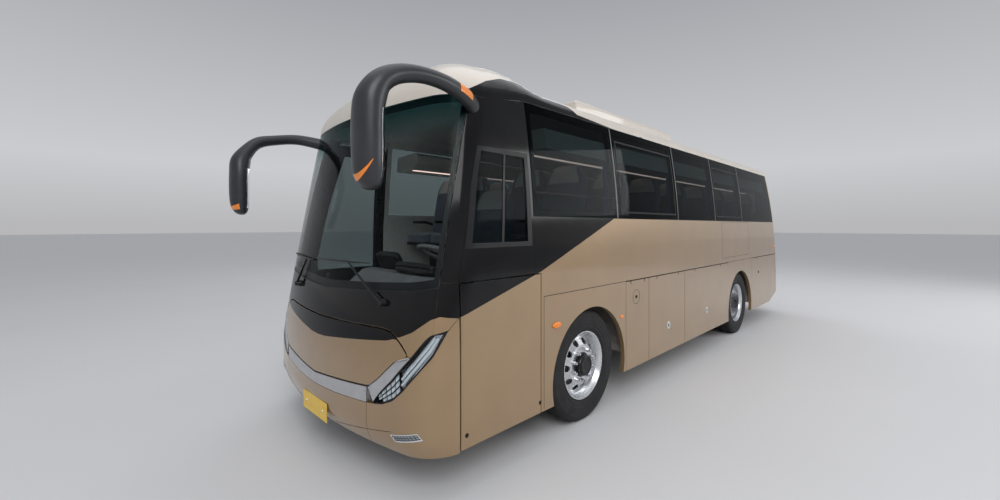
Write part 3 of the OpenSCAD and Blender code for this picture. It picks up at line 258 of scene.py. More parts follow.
def side_x(e, z):
    return end_x(e, z) - (1 if e == 0 else -1) * (BOW[e] - (BOW[e] - CORNER[e]) * cos(turn(e, z)))


def s_at(e, x, z):
    dx = (x - side_x(e, z)) * (1 if e == 0 else -1)
    if dx <= 0:
        return side_s(e, z) - dx
    t = turn(e, z)
    return BOW[e] * t + CORNER[e] * (acos(min(1, dx / CORNER[e])) - t)


def skin(e, s, z, d=0.0):
    """Point of the skin at length s from the middle and height z, d below the surface."""
    k = 1 if e == 0 else -1
    a, t, r = abs(s), turn(e, z), CORNER[e]
    b = BOW[e] * t
    over = max(0, a - side_s(e, z))
    if a < b:
        p = a / BOW[e]
        x, y = end_x(e, z) - k * BOW[e] * (1 - cos(p)), BOW[e] * sin(p)
    else:
        p = min(pi / 2, t + (a - b) / r)
        x, y = side_x(e, z) + k * (r * cos(p) - over), half_at(z) - r + r * sin(p)
    return Vector((x - k * d * cos(p), (-1 if s < 0 else 1) * (y - d * sin(p)), z))


def place(p):
    return Vector((p[0] / 1000 + AX, p[1] / 1000, p[2] / 1000))


def times(a, b):
    return Vector((a[0] * b[0], a[1] * b[1], a[2] * b[2]))


def flip(f, sg):
    return lambda u, v, d: times((1, sg, 1), f(u, v, d))


def lerp(a, b, t):
    return a + (b - a) * t


def span(a, b, n):
    return [lerp(a, b, i / n) for i in range(n + 1)]


def table(s, pts):
    """Height at a length along the skin, read from a list of points."""
    s = abs(s)
    if s <= pts[0][0]:
        return pts[0][1]
    for (a, za), (b, zb) in zip(pts, pts[1:]):
        if s <= b:
            return lerp(za, zb, (s - a) / (b - a))
    return pts[-1][1]


def along(a, pts):
    """Point at a share of a list of points, each step counted the same."""
    n = len(pts) - 1
    k = min(n - 1, int(a * n))
    f = a * n - k
    return (lerp(pts[k][0], pts[k + 1][0], f), lerp(pts[k][1], pts[k + 1][1], f))


# Mesh makers
WELD = 1e-5


def finish_mesh(name, bm, mats, body=ROOT, bevel=0.0, angle=38, slot=None, node=None):
    """Rounds the edges and makes the object, with its body and the node it stands for; slot is not used."""
    bmesh.ops.remove_doubles(bm, verts=bm.verts, dist=WELD)
    bmesh.ops.dissolve_degenerate(bm, edges=bm.edges, dist=WELD)
    bmesh.ops.recalc_face_normals(bm, faces=bm.faces)
    if bevel:
        sharp = [e for e in bm.edges if len(e.link_faces) == 2 and e.calc_face_angle(0) > radians(angle)]
        bmesh.ops.bevel(bm, geom=sharp, offset=bevel, segments=2, profile=0.5, affect="EDGES",
                        clamp_overlap=True)
    mesh = bpy.data.meshes.new(name)
    bm.to_mesh(mesh)
    bm.free()
    mesh.shade_smooth()
    mesh.set_sharp_from_angle(angle=radians(angle))
    ob = bpy.data.objects.new(name, mesh)
    scene.collection.objects.link(ob)
    for key in [mats] if isinstance(mats, str) else mats:
        mesh.materials.append(M[key])
    if bevel:
        ob.modifiers.new("even_normals", "WEIGHTED_NORMAL").keep_sharp = True
    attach(ob, body)
    if node:
        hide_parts(node)
    return ob


def add_grid(bm, f, us, vs, t, hole=None, mat=0, mat_at=None):
    """Closed sheet of thickness t: f(u, v, d) gives a point, hole(u, v) leaves a cell out."""
    nu, nv = len(us), len(vs)
    outer = [[bm.verts.new(place(f(u, v, 0))) for u in us] for v in vs]
    inner = [[bm.verts.new(place(f(u, v, t))) for u in us] for v in vs]
    here = {(i, j) for i in range(nu - 1) for j in range(nv - 1)
            if not (hole and hole((us[i] + us[i + 1]) / 2, (vs[j] + vs[j + 1]) / 2))}
    faces = []
    for i, j in sorted(here):
        k = mat_at((us[i] + us[i + 1]) / 2, (vs[j] + vs[j + 1]) / 2) if mat_at else mat
        faces.append((k, outer[j][i], outer[j][i + 1], outer[j + 1][i + 1], outer[j + 1][i]))
        faces.append((k, inner[j + 1][i], inner[j + 1][i + 1], inner[j][i + 1], inner[j][i]))
        for (di, dj), (p, q) in (((0, -1), ((i, j), (i + 1, j))), ((1, 0), ((i + 1, j), (i + 1, j + 1))),
                                 ((0, 1), ((i + 1, j + 1), (i, j + 1))), ((-1, 0), ((i, j + 1), (i, j)))):
            if (i + di, j + dj) not in here:
                faces.append((k, outer[q[1]][q[0]], outer[p[1]][p[0]],
                              inner[p[1]][p[0]], inner[q[1]][q[0]]))
    for k, *q in faces:
        bm.faces.new(q).material_index = k


def panel(name, f, us, vs, t, mats, body=ROOT, hole=None, bevel=0.0018, mat_at=None, **kw):
    bm = bmesh.new()
    add_grid(bm, f, us, vs, t, hole, mat_at=mat_at)
    return finish_mesh(name, bm, mats, body, bevel, **kw)


def edge_fn(e, lo, hi, d0=0.0):
    """Patch of the skin between two edges, each a function from 0 to 1 that gives (s, z)."""
    def f(u, v, d):
        a, b = lo(u), hi(u)
        return skin(e, lerp(a[0], b[0], v), lerp(a[1], b[1], v), d0 + d)
    return f


def two_tone(e, lo, hi, line):
    """Patch whose v runs 0 to 1 below a line of heights along the skin, and 1 to 2 above it."""
    def f(u, v, d):
        a, b = lo(u), hi(u)
        z = min(max(table(a[0], line), a[1] + 1), b[1] - 1)
        m = (lerp(a[0], b[0], (z - a[1]) / (b[1] - a[1])), z)
        p, q, t = (a, m, v) if v <= 1 else (m, b, v - 1)
        return skin(e, lerp(p[0], q[0], t), lerp(p[1], q[1], t), d)
    return f


def paint_split(ob, line, lining=lambda fc, c: fc.normal.y * c.y < -0.5):
    """Cuts the mesh along a line in X and Z: faces above take the second material, inner ones the third."""
    bm = bmesh.new()
    bm.from_mesh(ob.data)
    for (x0, z0), (x1, z1) in zip(line, line[1:]):
        a, b = place((x0, 0, z0)), place((x1, 0, z1))
        n = (b - a).cross(Vector((0, 1, 0))).normalized()
        bmesh.ops.bisect_plane(bm, geom=bm.verts[:] + bm.edges[:] + bm.faces[:], plane_co=a,
                               plane_no=n, dist=WELD)
    for fc in bm.faces:
        c = fc.calc_center_median()
        x, z = (c.x - AX) * 1000, c.z * 1000
        zs = line[0][1] if x <= line[0][0] else line[-1][1]
        for (x0, z0), (x1, z1) in zip(line, line[1:]):
            if x0 < x <= x1:
                zs = lerp(z0, z1, (x - x0) / (x1 - x0))
        fc.material_index = 2 if len(ob.data.materials) > 2 and lining(fc, c) else 1 if z > zs else 0
    bm.to_mesh(ob.data)
    bm.free()
    ob.data.set_sharp_from_angle(angle=radians(38))


def soften(node, mats, bevel=0.002, angle=30, slot=None):
    """A clean copy of a CAD solid with rounded edges, which stands for it."""
    bm = bmesh.new()
    bm.from_mesh(nodes[node].data)
    bmesh.ops.remove_doubles(bm, verts=bm.verts, dist=2e-5)
    bmesh.ops.dissolve_limit(bm, angle_limit=radians(0.4), verts=bm.verts, edges=bm.edges)
    for fc in bm.faces:
        fc.material_index = 0
    finish_mesh(node + "_finish", bm, mats, nodes[node]["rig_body"], bevel, angle, slot, node)


def add_lathe(bm, prof, n, axis_pt, axis, mat=0):
    """Turns (radius, along) points, in mm, round an axis through a point in the shared frame."""
    ax = Vector(axis).normalized()
    u = ax.orthogonal().normalized()
    w = ax.cross(u)
    ring = [u * cos(2 * pi * k / n) + w * sin(2 * pi * k / n) for k in range(n)]
    rows = []
    for r, h in prof:
        c = axis_pt + ax * h / 1000
        rows.append([bm.verts.new(c + d * r / 1000) for d in (ring if r > 0 else ring[:1])])
    for a, b in zip(rows, rows[1:]):
        for k in range(n):
            q = [a[k % len(a)], a[(k + 1) % len(a)], b[(k + 1) % len(b)], b[k % len(b)]]
            q = [v for i, v in enumerate(q) if v not in q[:i]]
            if len(q) > 2:
                bm.faces.new(q).material_index = mat


def add_box(bm, x0, x1, y0, y1, z0, z1, mat=0):
    v = [bm.verts.new(place((x, y, z))) for x in (x0, x1) for y in (y0, y1) for z in (z0, z1)]
    for q in ((0, 1, 3, 2), (4, 6, 7, 5), (0, 4, 5, 1), (2, 3, 7, 6), (0, 2, 6, 4), (1, 5, 7, 3)):
        bm.faces.new([v[i] for i in q]).material_index = mat


def add_tube(bm, pts, r, n=10, mat=0, flat=1.0):
    """Round tube along points in mm, closed at both ends."""
    P = [place(p) for p in pts]
    ring = [(cos(2 * pi * k / n), sin(2 * pi * k / n)) for k in range(n)]
    rows = []
    for i, p in enumerate(P):
        d = (P[min(i + 1, len(P) - 1)] - P[max(i - 1, 0)]).normalized()
        side = d.cross(Vector((0, 0, 1)))
        side = side.normalized() if side.length > 0.05 else d.cross(Vector((0, 1, 0))).normalized()
        up = side.cross(d)
        rr = (r[i] if isinstance(r, (list, tuple)) else r) / 1000
        rows.append([bm.verts.new(p + side * c * rr + up * s * rr * flat) for c, s in ring])
    for a, b in zip(rows, rows[1:]):
        for k in range(n):
            bm.faces.new((a[k], a[(k + 1) % n], b[(k + 1) % n], b[k])).material_index = mat
    bm.faces.new(rows[0][::-1]).material_index = mat
    bm.faces.new(rows[-1]).material_index = mat


# Front panels; an edge is a list of (length along the skin, height)
BAND_LOW = [(0, 528), (350, 540), (660, 560), (712, 563)]
BAND_HIGH = [(0, 610), (350, 638), (660, 662), (730, 668), (815, 727), (962, 866), (1050, 893)]
BAND_WING = [(731, 668), (815, 727), (880, 790), (962, 866), (1010, 882), (1050, 893)]
FLAP_HIGH = [(0, 1036), (800, 1052), (880, 1040), (930, 1017), (1000, 970), (1050, 925)]
LAMP_IN = [(783, 585), (850, 662), (946, 753), (1020, 838), (1082, 908), (1159, 1016), (1194, 1051)]
LAMP_OUT = [(786, 573), (871, 588), (965, 629), (1049, 702), (1147, 821), (1228, 921), (1300, 1072)]
MASK_LOW = [*FLAP_HIGH[:5], (1060, 916), (1082, 909), (1159, 1017), (1194, 1052), (1302, 1079),
            (1330, 1115), (1360, 1146), (1440, 1153)]
CORNER_HIGH = [BAND_LOW[-1], *((s, z - 1) for s, z in LAMP_OUT + MASK_LOW[-3:])]
BASE = [(0, 1255), (610, 1285), (1000, 1312), (1205, 1345)]
# Border between the gold below and the black above
FRONT_LINE = [(0, 900), (120, 904), (610, 958), (860, 988), (970, 1023), (1070, 1065), (1180, 1147),
              (1240, 1165), (1364, 1148), (1500, 1153)]
SCREEN, PILLAR, BUMPER, NOSE, FLAP_X = 1205.0, 1325.0, 712.0, 1045.0, 1500.0
BUMPER_LOW, BUMPER_EDGE, FLAP_GAP, BAND_OUT = SKIRT - 10, 3, 12, -1.5
SCREEN_T, PANE_T = 12, 8             # thickness of the glass
U64, V8, V24 = span(0, 1, 64), span(0, 1, 8), span(0, 1, 24)
V_TWO = span(0, 1, 6) + span(1, 2, 6)[1:]


def level(a, b, z):
    """Edge from a to b along the skin at one height."""
    return lambda u: (lerp(a, b, u), z)


def sline(a, b, tab, dz=0.0):
    """Edge from a to b along the skin that follows a list of heights."""
    return lambda u: (lerp(a, b, u), table(lerp(a, b, u), tab) + dz)


def above(u, v):
    return 1 if v > 1 else 0


def add_pair(bm, f, us, vs, t, **kw):
    """The same patch, given on the left, on both sides."""
    for sg in SIDES:
        add_grid(bm, flip(f, sg), us, vs, t, **kw)


def pair(name, f, us, vs, t, mats, hole=None, bevel=0.0015, d0=0.0, mat_at=None, **kw):
    bm = bmesh.new()
    add_pair(bm, lambda u, v, d: f(u, v, d0 + d), us, vs, t, hole=hole, mat_at=mat_at)
    finish_mesh(name, bm, mats, bevel=bevel, **kw)


def corner_at(u, v, d):
    s_from = BUMPER + BUMPER_EDGE
    top = 900
    for _ in range(8):               # the upper edge and its length along the skin hang on each other
        top = table(lerp(s_from, s_at(0, FLAP_X, top) - BUMPER_EDGE, u), CORNER_HIGH) - 1.5
    z = lerp(BUMPER_LOW, top, v)
    return skin(0, lerp(s_from, s_at(0, FLAP_X, z) - BUMPER_EDGE, u), z, d)


def mask_edge(u):
    s = lerp(-SCREEN, SCREEN, u)
    return s, table(s, MASK_LOW) + (FLAP_GAP if abs(s) < 1062 else 1)


GOLD_BLACK = ["gold", "black"]
panel("bumper_middle", edge_fn(0, level(-BUMPER, BUMPER, BUMPER_LOW), sline(-BUMPER, BUMPER, BAND_LOW, -1.5)),
      U64, V8, WALL, "gold", node="front_bumper", slot="body_paint")
pair("bumper_corners", corner_at, U64, V24, WALL, "gold", slot="body_paint")
panel("nose_flap", two_tone(0, sline(-NOSE, NOSE, BAND_HIGH, FLAP_GAP), sline(-NOSE, NOSE, FLAP_HIGH),
                            FRONT_LINE),
      U64, V_TWO, 22, GOLD_BLACK, "front_flap_body", node="front_flap", slot="body_paint", mat_at=above)
panel("bright_band_middle", edge_fn(0, sline(-BUMPER, BUMPER, BAND_LOW, 1.5),
                                    sline(-BUMPER, BUMPER, BAND_HIGH), BAND_OUT),
      U64, span(0, 1, 6), 30, "trim", node="bright_band", slot="bright_metal", bevel=0.003)
pair("bright_band_wings", edge_fn(0, lambda u: along(u * 0.66, LAMP_IN), lambda u: along(u, BAND_WING)),
     U64, V8, 30, "trim", d0=BAND_OUT, slot="bright_metal", bevel=0.003)
panel("black_mask", two_tone(0, mask_edge, sline(-SCREEN, SCREEN, BASE), FRONT_LINE), span(0, 1, 120), V_TWO,
      WALL, GOLD_BLACK, node="front_mask", slot="black_gloss", mat_at=above)
side_low, side_high = s_at(0, FLAP_X, 1147), s_at(0, FLAP_X, FLAP_Z)
pair("mask_corners", two_tone(0, sline(SCREEN + SEAM, side_low, MASK_LOW),
                              level(SCREEN + SEAM, side_high - 1, FLAP_Z), FRONT_LINE),
     V24, V_TWO, WALL, GOLD_BLACK, bevel=0.0018, slot="black_gloss", mat_at=above)
pair("screen_pillars", edge_fn(0, level(SCREEN + SEAM, PILLAR, FLAP_Z + SEAM),
                               level(SCREEN + SEAM, PILLAR, STOP)),
     span(0, 1, 10), V24, WALL, "black", bevel=0.0018)
panel("windscreen_glass", edge_fn(0, sline(-SCREEN, SCREEN, BASE, SEAM), level(-SCREEN, SCREEN, STOP)),
      U64, V24, SCREEN_T, "screen", node="windscreen", slot="clear_glass", bevel=0.001)
# Black printed edge behind the windscreen
panel("screen_border", edge_fn(0, sline(-SCREEN + 4, SCREEN - 4, BASE, 4),
                               level(-SCREEN + 4, SCREEN - 4, STOP - 4), SCREEN_T + 0.4),
      U64, V24, 1.2, "satin", bevel=0, hole=lambda u, v: abs(u - 0.5) < 0.485 and 0.05 < v < 0.965)

# Side panels
DRIVER, DOOR_X, FLAP_REAR = 765.0, 640.0, 684.0
DRIVER_LOW, DRIVER_HIGH, DRIVER_REAR = 1610.0, 2270.0, DRIVER + 50
TAIL = 40                            # from the rear's curve to the last pane
PANE = [756.0, -504.0, -1950.0, -3250.0, -4510.0, side_x(1, 2250) + TAIL]
RIGHT_PANE = DOOR_X - GAP - 3
MARGIN, REBATE, REBATE_Z = 55.0, 9, BELT - 1     # frame of a pane, and the step behind the glass
NEAR = 0.1                           # rows this close keep a step sharp
BLACK_LINE = [(-435, 1809), (684, 1387), (1495, 1153)]
GOLD_BLACK_LINED = ["gold", "black", "lining"]


def side_wall(name, sg, front, x0, node):
    cuts = [(PANE[k + 1] + MARGIN + (80 if k == 4 else 0), (x0 if k == 0 else PANE[k]) - MARGIN)
            for k in range(5)]
    flap = FLAP_REAR - SEAM
    xs = sorted({front, flap, *span(REAR + 300, front, 40), *[c for p in cuts for c in p]})
    zs = [SILL, *span(SILL + 60, FLAP_Z - 1, 3), FLAP_Z - NEAR, FLAP_Z + NEAR,
          *span(FLAP_Z + 1, REBATE_Z - 1, 10), REBATE_Z - NEAR, REBATE_Z + NEAR, BELT + MARGIN,
          *span(BELT + MARGIN + 50, GTOP - MARGIN - 50, 14), GTOP - MARGIN, GTOP]

    def f(x, z, d):
        x = max(side_x(1, z) + SEAM, min(min(front, flap) if z < FLAP_Z else front, x))
        return Vector((x, sg * (half_at(z) - d - (REBATE if z > REBATE_Z else 0)), z))
    inside = lambda x, z: BELT + MARGIN < z < GTOP - MARGIN and any(a < x < b for a, b in cuts)
    paint_split(panel(name, f, xs, zs, WALL, GOLD_BLACK_LINED, hole=inside, node=node, bevel=0,
                      slot="body_paint"), BLACK_LINE)


side_wall("side_wall_left", 1, DRIVER, PANE[0], "wall_left")
side_wall("side_wall_right", -1, DOOR_X - GAP, RIGHT_PANE, "wall_right")


def side_pane(bm, sg, k, x1):
    rear = lambda z: PANE[k + 1] if k < 4 else side_x(1, z) + TAIL
    add_grid(bm, lambda u, z, d: Vector((lerp(rear(z) + 4, x1 - 4, u), sg * (half_at(z) - d), z)),
             span(0, 1, 10), span(BELT + 3, GTOP - 3, 20), PANE_T)


def driver_edge(z, m):
    return max(PILLAR + 16 + m, s_at(0, min(1440, side_x(0, z) + 60) - m, z))


bm = bmesh.new()
for sg, first in ((1, PANE[0]), (-1, RIGHT_PANE)):
    for k in range(5):
        side_pane(bm, sg, k, first if k == 0 else PANE[k])
add_grid(bm, lambda u, v, d: skin(0, lerp(driver_edge(v, 1), s_at(0, DRIVER_REAR + 1, v), u), v, 4 + d),
         span(0, 1, 12), span(DRIVER_LOW + 1, DRIVER_HIGH - 1, 12), PANE_T)
finish_mesh("side_panes", bm, "glass", bevel=0.0012, slot="clear_glass", node="side_glass")


# Panel round the driver's window, and the strip over the door
def driver_panel(u, z, d):
    top = lerp(STOP - 1, GTOP - 1, u / 3)
    if z > DRIVER_HIGH:
        z = lerp(DRIVER_HIGH, top, (z - DRIVER_HIGH) / (STOP - 1 - DRIVER_HIGH))
    q = [PILLAR + SEAM, driver_edge(z, 0), s_at(0, DRIVER_REAR, z), s_at(0, DRIVER + SEAM, z)]
    k = min(2, int(u))
    return skin(0, lerp(q[k], q[k + 1], u - k), z, d)


def over_door(u, v, d):
    z = lerp(2618, lerp(STOP - 1, GTOP - 1, min(1, u * 1.18)), v)
    return skin(0, -lerp(PILLAR + SEAM, s_at(0, DOOR_X - GAP, 2640), u), z, d)


bm = bmesh.new()
zs = sorted({DRIVER_LOW, DRIVER_HIGH, *span(FLAP_Z, STOP - 1, 26)})
add_grid(bm, driver_panel, [0, 0.5, *span(1, 2, 10), 2.5, 3], zs, WALL,
         lambda u, z: 1 < u < 2 and DRIVER_LOW < z < DRIVER_HIGH)
add_grid(bm, over_door, span(0, 1, 18), span(0, 1, 3), WALL)
paint_split(finish_mesh("driver_window_panel", bm, GOLD_BLACK_LINED, bevel=0.0015), BLACK_LINE)


def side_flap(u, z, d):
    return skin(0, lerp(s_at(0, FLAP_X - GAP, z), s_at(0, FLAP_REAR + GAP, z), u), z, d)


paint_split(panel("front_side_flap", side_flap, V24, span(SKIRT, FLAP_Z - GAP - 2, 16), WALL, GOLD_BLACK,
                  "side_flap_left_body", node="side_flap_left", slot="body_paint"), BLACK_LINE)
for n in ("skirt_panels", "filler_flap_left", "filler_flap_right", "luggage_door_left_1",
          "luggage_door_left_2", "luggage_door_right_1", "luggage_door_right_2", "rear_flap_left",
          "rear_flap_right"):
    soften(n, "gold", slot="body_paint")

# Roof: a dome over the front that falls to the plain roof
EDGE_Q = [*span(0, 1, 40), *span(1, 2, 64)[1:], *span(2, 3, 32)[1:]]
PLAIN_RISE, DOME_RISE, DOME_X, DOME_RUN = 235, 265, -110, 560
RIDGE = (620, 540, REAR + 900, REAR + 836)       # ends of the middle line's front, sides and rear
# Border between the black below and the pale paint above
ROOF_LINE = [(-494, 2715), (36, 2741), (120, 2790), (300, 2865), (600, 2895), (947, 2862), (1134, 2790),
             (1302, 2696), (1420, 2640)]


def smooth(t):
    t = min(1, max(0, t))
    return t * t * (3 - 2 * t)


def edge_z(x):
    px = skin(0, PILLAR, STOP).x
    return STOP + SEAM + (GTOP - STOP) * min(1, max(0, (px - x) / (px - DRIVER)))


def roof_edge(q, d):
    """Point of the roof's left edge; q runs to 1 on the front, 2 on the side, 3 on the rear."""
    if q <= 1:
        p = skin(0, q * side_s(0, STOP), STOP + SEAM, d)
        return Vector((p.x, p.y, edge_z(p.x)))
    if q <= 2:
        x = lerp(side_x(0, STOP), side_x(1, GTOP), q - 1)
        return Vector((x, half_at(edge_z(x)) - d, edge_z(x)))
    return skin(1, (3 - q) * side_s(1, GTOP), GTOP + SEAM, d)


def roof_at(q, k, d):
    c = cos(pi / 2 * k)
    e = roof_edge(q, d)
    i = min(2, int(q))
    x = lerp(RIDGE[i], RIDGE[i + 1], q - i)
    dome = smooth((x - DOME_X) / DOME_RUN)
    n = 2.5 - 0.5 * dome
    return Vector((lerp(x, e.x, c), e.y * c,
                   e.z + (PLAIN_RISE + DOME_RISE * dome - d) * (1 - c ** n) ** (1 / n)))


bm = bmesh.new()
add_pair(bm, roof_at, EDGE_Q, span(0, 1, 22), WALL)
bmesh.ops.remove_doubles(bm, verts=bm.verts, dist=WELD)
mid = [fc for fc in bm.faces if all(abs(v.co.y) < WELD for v in fc.verts)]
bmesh.ops.delete(bm, geom=mid, context="FACES")
paint_split(finish_mesh("roof_shell", bm, ["black", "roof", "lining"], node="roof",
                        slot="roof_paint"),
            ROOF_LINE, lambda fc, c: fc.normal.z < -0.05 and abs(c.y) < 1.2)
soften("roof_aircon", "roof", 0.03, angle=20, slot="roof_paint")

# Rear
WIN_S, WIN_LOW, WIN_TOP, LAMP_S, LAMP_Z = 930.0, 1960.0, 2600.0, (860.0, 1120.0), (780.0, 1480.0)
HATCH, HATCH_LOW, HATCH_TOP, HATCH_GAP = 790.0, 640.0, 1560.0, 10
REAR_LOW, REAR_SEAM = 430, 620
TRUE_S, END_S = 1150, 1500           # lengths are true up to the first; the second stands for the flat side


def rear_hole(s, z):
    a = abs(s)
    return (a < HATCH and HATCH_LOW < z < HATCH_TOP) or (a < WIN_S and WIN_LOW < z < WIN_TOP) or (
        LAMP_S[0] < a < LAMP_S[1] and LAMP_Z[0] < z < LAMP_Z[1])


def rear_wide(s, z, d):
    a = abs(s)
    if a >= TRUE_S:
        a = TRUE_S + (a - TRUE_S) * (side_s(1, z) - TRUE_S) / (END_S - TRUE_S)
    return skin(1, a if s > 0 else -a, z, d)


def on_rear(d0=0.0):
    return lambda s, z, d: skin(1, s, z, d0 + d)


ss = sorted({*span(-END_S, END_S, 60), -HATCH, HATCH, -WIN_S, WIN_S, *LAMP_S, -LAMP_S[0], -LAMP_S[1]})
zs = sorted({*span(REAR_SEAM, GTOP, 30), HATCH_LOW, HATCH_TOP, WIN_LOW, WIN_TOP, *LAMP_Z})
panel("rear_shell", rear_wide, ss, zs, WALL, "gold", hole=rear_hole, node="rear_panel",
      slot="body_paint", bevel=0.002)
panel("rear_window", on_rear(4), span(1 - WIN_S, WIN_S - 1, 40), span(WIN_LOW + 1, WIN_TOP - 1, 16), PANE_T,
      "glass", node="rear_glass", slot="clear_glass", bevel=0.001)
panel("rear_bumper_skin", rear_wide, ss, span(REAR_LOW, REAR_SEAM - 1, 6), WALL, "gold",
      node="rear_bumper", slot="body_paint", bevel=0.003)
panel("engine_lid", on_rear(), span(HATCH_GAP - HATCH, HATCH - HATCH_GAP, 40),
      span(HATCH_LOW + HATCH_GAP, HATCH_TOP - 14, 24), 28, "gold", "engine_hatch_body",
      node="engine_hatch", slot="body_paint")
pair("rear_lamp_base", on_rear(2), span(LAMP_S[0] + 1, LAMP_S[1] - 1, 12),
     span(LAMP_Z[0] + 1, LAMP_Z[1] - 1, 14), 38, "black", bevel=0.002, node="rear_lamps",
     slot="lamp_red")

# Lamps
# Where the lenses lie in their rims
RIM_U, RIM_V, FOG_U, FOG_V = (0.014, 0.986), (0.08, 0.92), (0.035, 0.965), (0.2, 0.86)
FOG = [(988, 373), (1194, 416), (945, 413), (1155, 459)]


def lamp_at(u, v, d):
    a, b = along(u, LAMP_OUT), along(u, LAMP_IN)
    return skin(0, lerp(a[0], b[0], v), lerp(a[1], b[1], v), d)


def fog_at(u, v, d):
    p = [lerp(lerp(FOG[0][i], FOG[1][i], u), lerp(FOG[2][i], FOG[3][i], u), v) for i in (0, 1)]
    return skin(0, p[0], p[1], d)


def within(us, vs):
    return lambda u, v: us[0] < u < us[1] and vs[0] < v < vs[1]


def cups(bm, f, cells, du, dv, top, deep, mat):
    """Small hollow reflectors on a patch."""
    for u, v in cells:
        def cup(a, b, d):
            k = (1 - (2 * a) ** 2) * (1 - (2 * b) ** 2)
            return f(u + a * du, v + b * dv, d + top + deep * k)
        add_pair(bm, cup, span(-0.5, 0.5, 6), span(-0.5, 0.5, 6), 2, mat=mat)


lens_u, lens_v = span(*RIM_U, 40), span(*RIM_V, 8)
pair("lamp_rim", lamp_at, [0, RIM_U[0], *span(0.04, 0.96, 30), RIM_U[1], 1],
     [0, RIM_V[0], *span(0.2, 0.8, 4), RIM_V[1], 1], 40, "satin", hole=within(RIM_U, RIM_V), d0=-0.5,
     bevel=0.0008, node="headlamps")
pair("lamp_cover", lamp_at, lens_u, lens_v, 3, "lens", d0=0.8, bevel=0.0005, slot="clear_glass")
bm = bmesh.new()
add_pair(bm, lambda u, v, d: lamp_at(u, v, 34 + d), lens_u, lens_v, 3,
         mat_at=lambda u, v: 1 if u < 0.46 else 0)
for sg in SIDES:
    for v, r in ((0.3, 12), (0.56, 9)):
        add_tube(bm, [times((1, sg, 1), lamp_at(u, v, 20)) for u in span(0.48, 0.95, 20)], r, 12, 2)
add_pair(bm, lambda u, v, d: lamp_at(u, lerp(1.08 - 0.4 * u, 0.92, v), 14 + d), span(0.5, 0.97, 16),
         span(0, 1, 3), 8, mat=1)
cups(bm, lamp_at, [(0.13 + 0.072 * i, v) for i in range(5) for v in (0.22, 0.5, 0.78)][1:], 0.058, 0.2,
     12, 10, 2)
finish_mesh("lamp_inner", bm, ["chrome", "satin", "white_lens"])
pair("fog_bezel", fog_at, [0, FOG_U[0], *span(0.1, 0.9, 8), FOG_U[1], 1], [0, FOG_V[0], 0.5, FOG_V[1], 1], 8,
     "chrome", hole=within(FOG_U, FOG_V), d0=-6, bevel=0.0015, node="fog_lamps")
pair("fog_cover", fog_at, span(*FOG_U, 12), span(*FOG_V, 4), 1.5, "lens", d0=-4.5, bevel=0)
bm = bmesh.new()
add_pair(bm, lambda u, v, d: fog_at(u, v, d - 1), span(0.03, 0.97, 12), span(0.15, 0.9, 4), 2, mat=1)
cups(bm, fog_at, [(0.1 + 0.114 * i, v) for i in range(8) for v in (0.38, 0.68)], 0.085, 0.24, -2.6, 1.4, 0)
finish_mesh("fog_inner", bm, ["trim", "satin"])


# Mirrors: loft through the same stations as the part, drawn smooth
def mirror_stations(drop):
    """Middle of each section, with its half sizes as two vectors."""
    x, y, z = 2128, 1225, STOP
    low = z - drop
    return [((1225, 1100, z - 90), (0, 0, 70), (-20, 30, 0)),
            ((1400, 1180, z - 45), (0, 0, 58), (-20, 42, 0)),
            ((x - 528, y + 15, z - 20), (0, 0, 50), (-8, 46, 0)),
            ((x - 328, y + 37, z - 20 - drop / 3), (8, 0, 48), (0, 50, 0)),
            ((x - 168, y + 37, z - 53 - drop / 2), (22, 0, 50), (0, 60, 0)),
            ((x - 63, y + 25, low - 115), (48, 0, 45), (0, 80, 0)),
            ((x - 13, y + 10, low - 205), (80, 0, 20), (0, 95, 0)),
            ((x, y, low - 315), (82, 0, 0), (0, 105, 0)), ((x, y, low - 495), (82, 0, 0), (0, 105, 0)),
            ((x - 3, y, low - 615), (74, 0, 0), (0, 98, 0)), ((x - 13, y, low - 685), (50, 0, 0), (0, 75, 0)),
            ((x - 20, y, low - 710), (18, 0, 0), (0, 30, 0))]


def spline(p, t):
    k = min(len(p) - 2, int(t))
    f = t - k
    a, b, c, d = (p[max(0, min(len(p) - 1, k + j))] for j in (-1, 0, 1, 2))
    return 0.5 * (2 * b + (c - a) * f + (2 * a - 5 * b + 4 * c - d) * f * f
                  + (3 * b - a - 3 * c + d) * f ** 3)


def mirror_at(drop, t, ang, out=0.0):
    c, a, b = ([Vector(v) for v in col] for col in zip(*mirror_stations(drop)))
    a, b = spline(a, t), spline(b, t)
    n = a.normalized() * cos(ang) + b.normalized() * sin(ang)
    return spline(c, t) + a * cos(ang) + b * sin(ang) + n * out


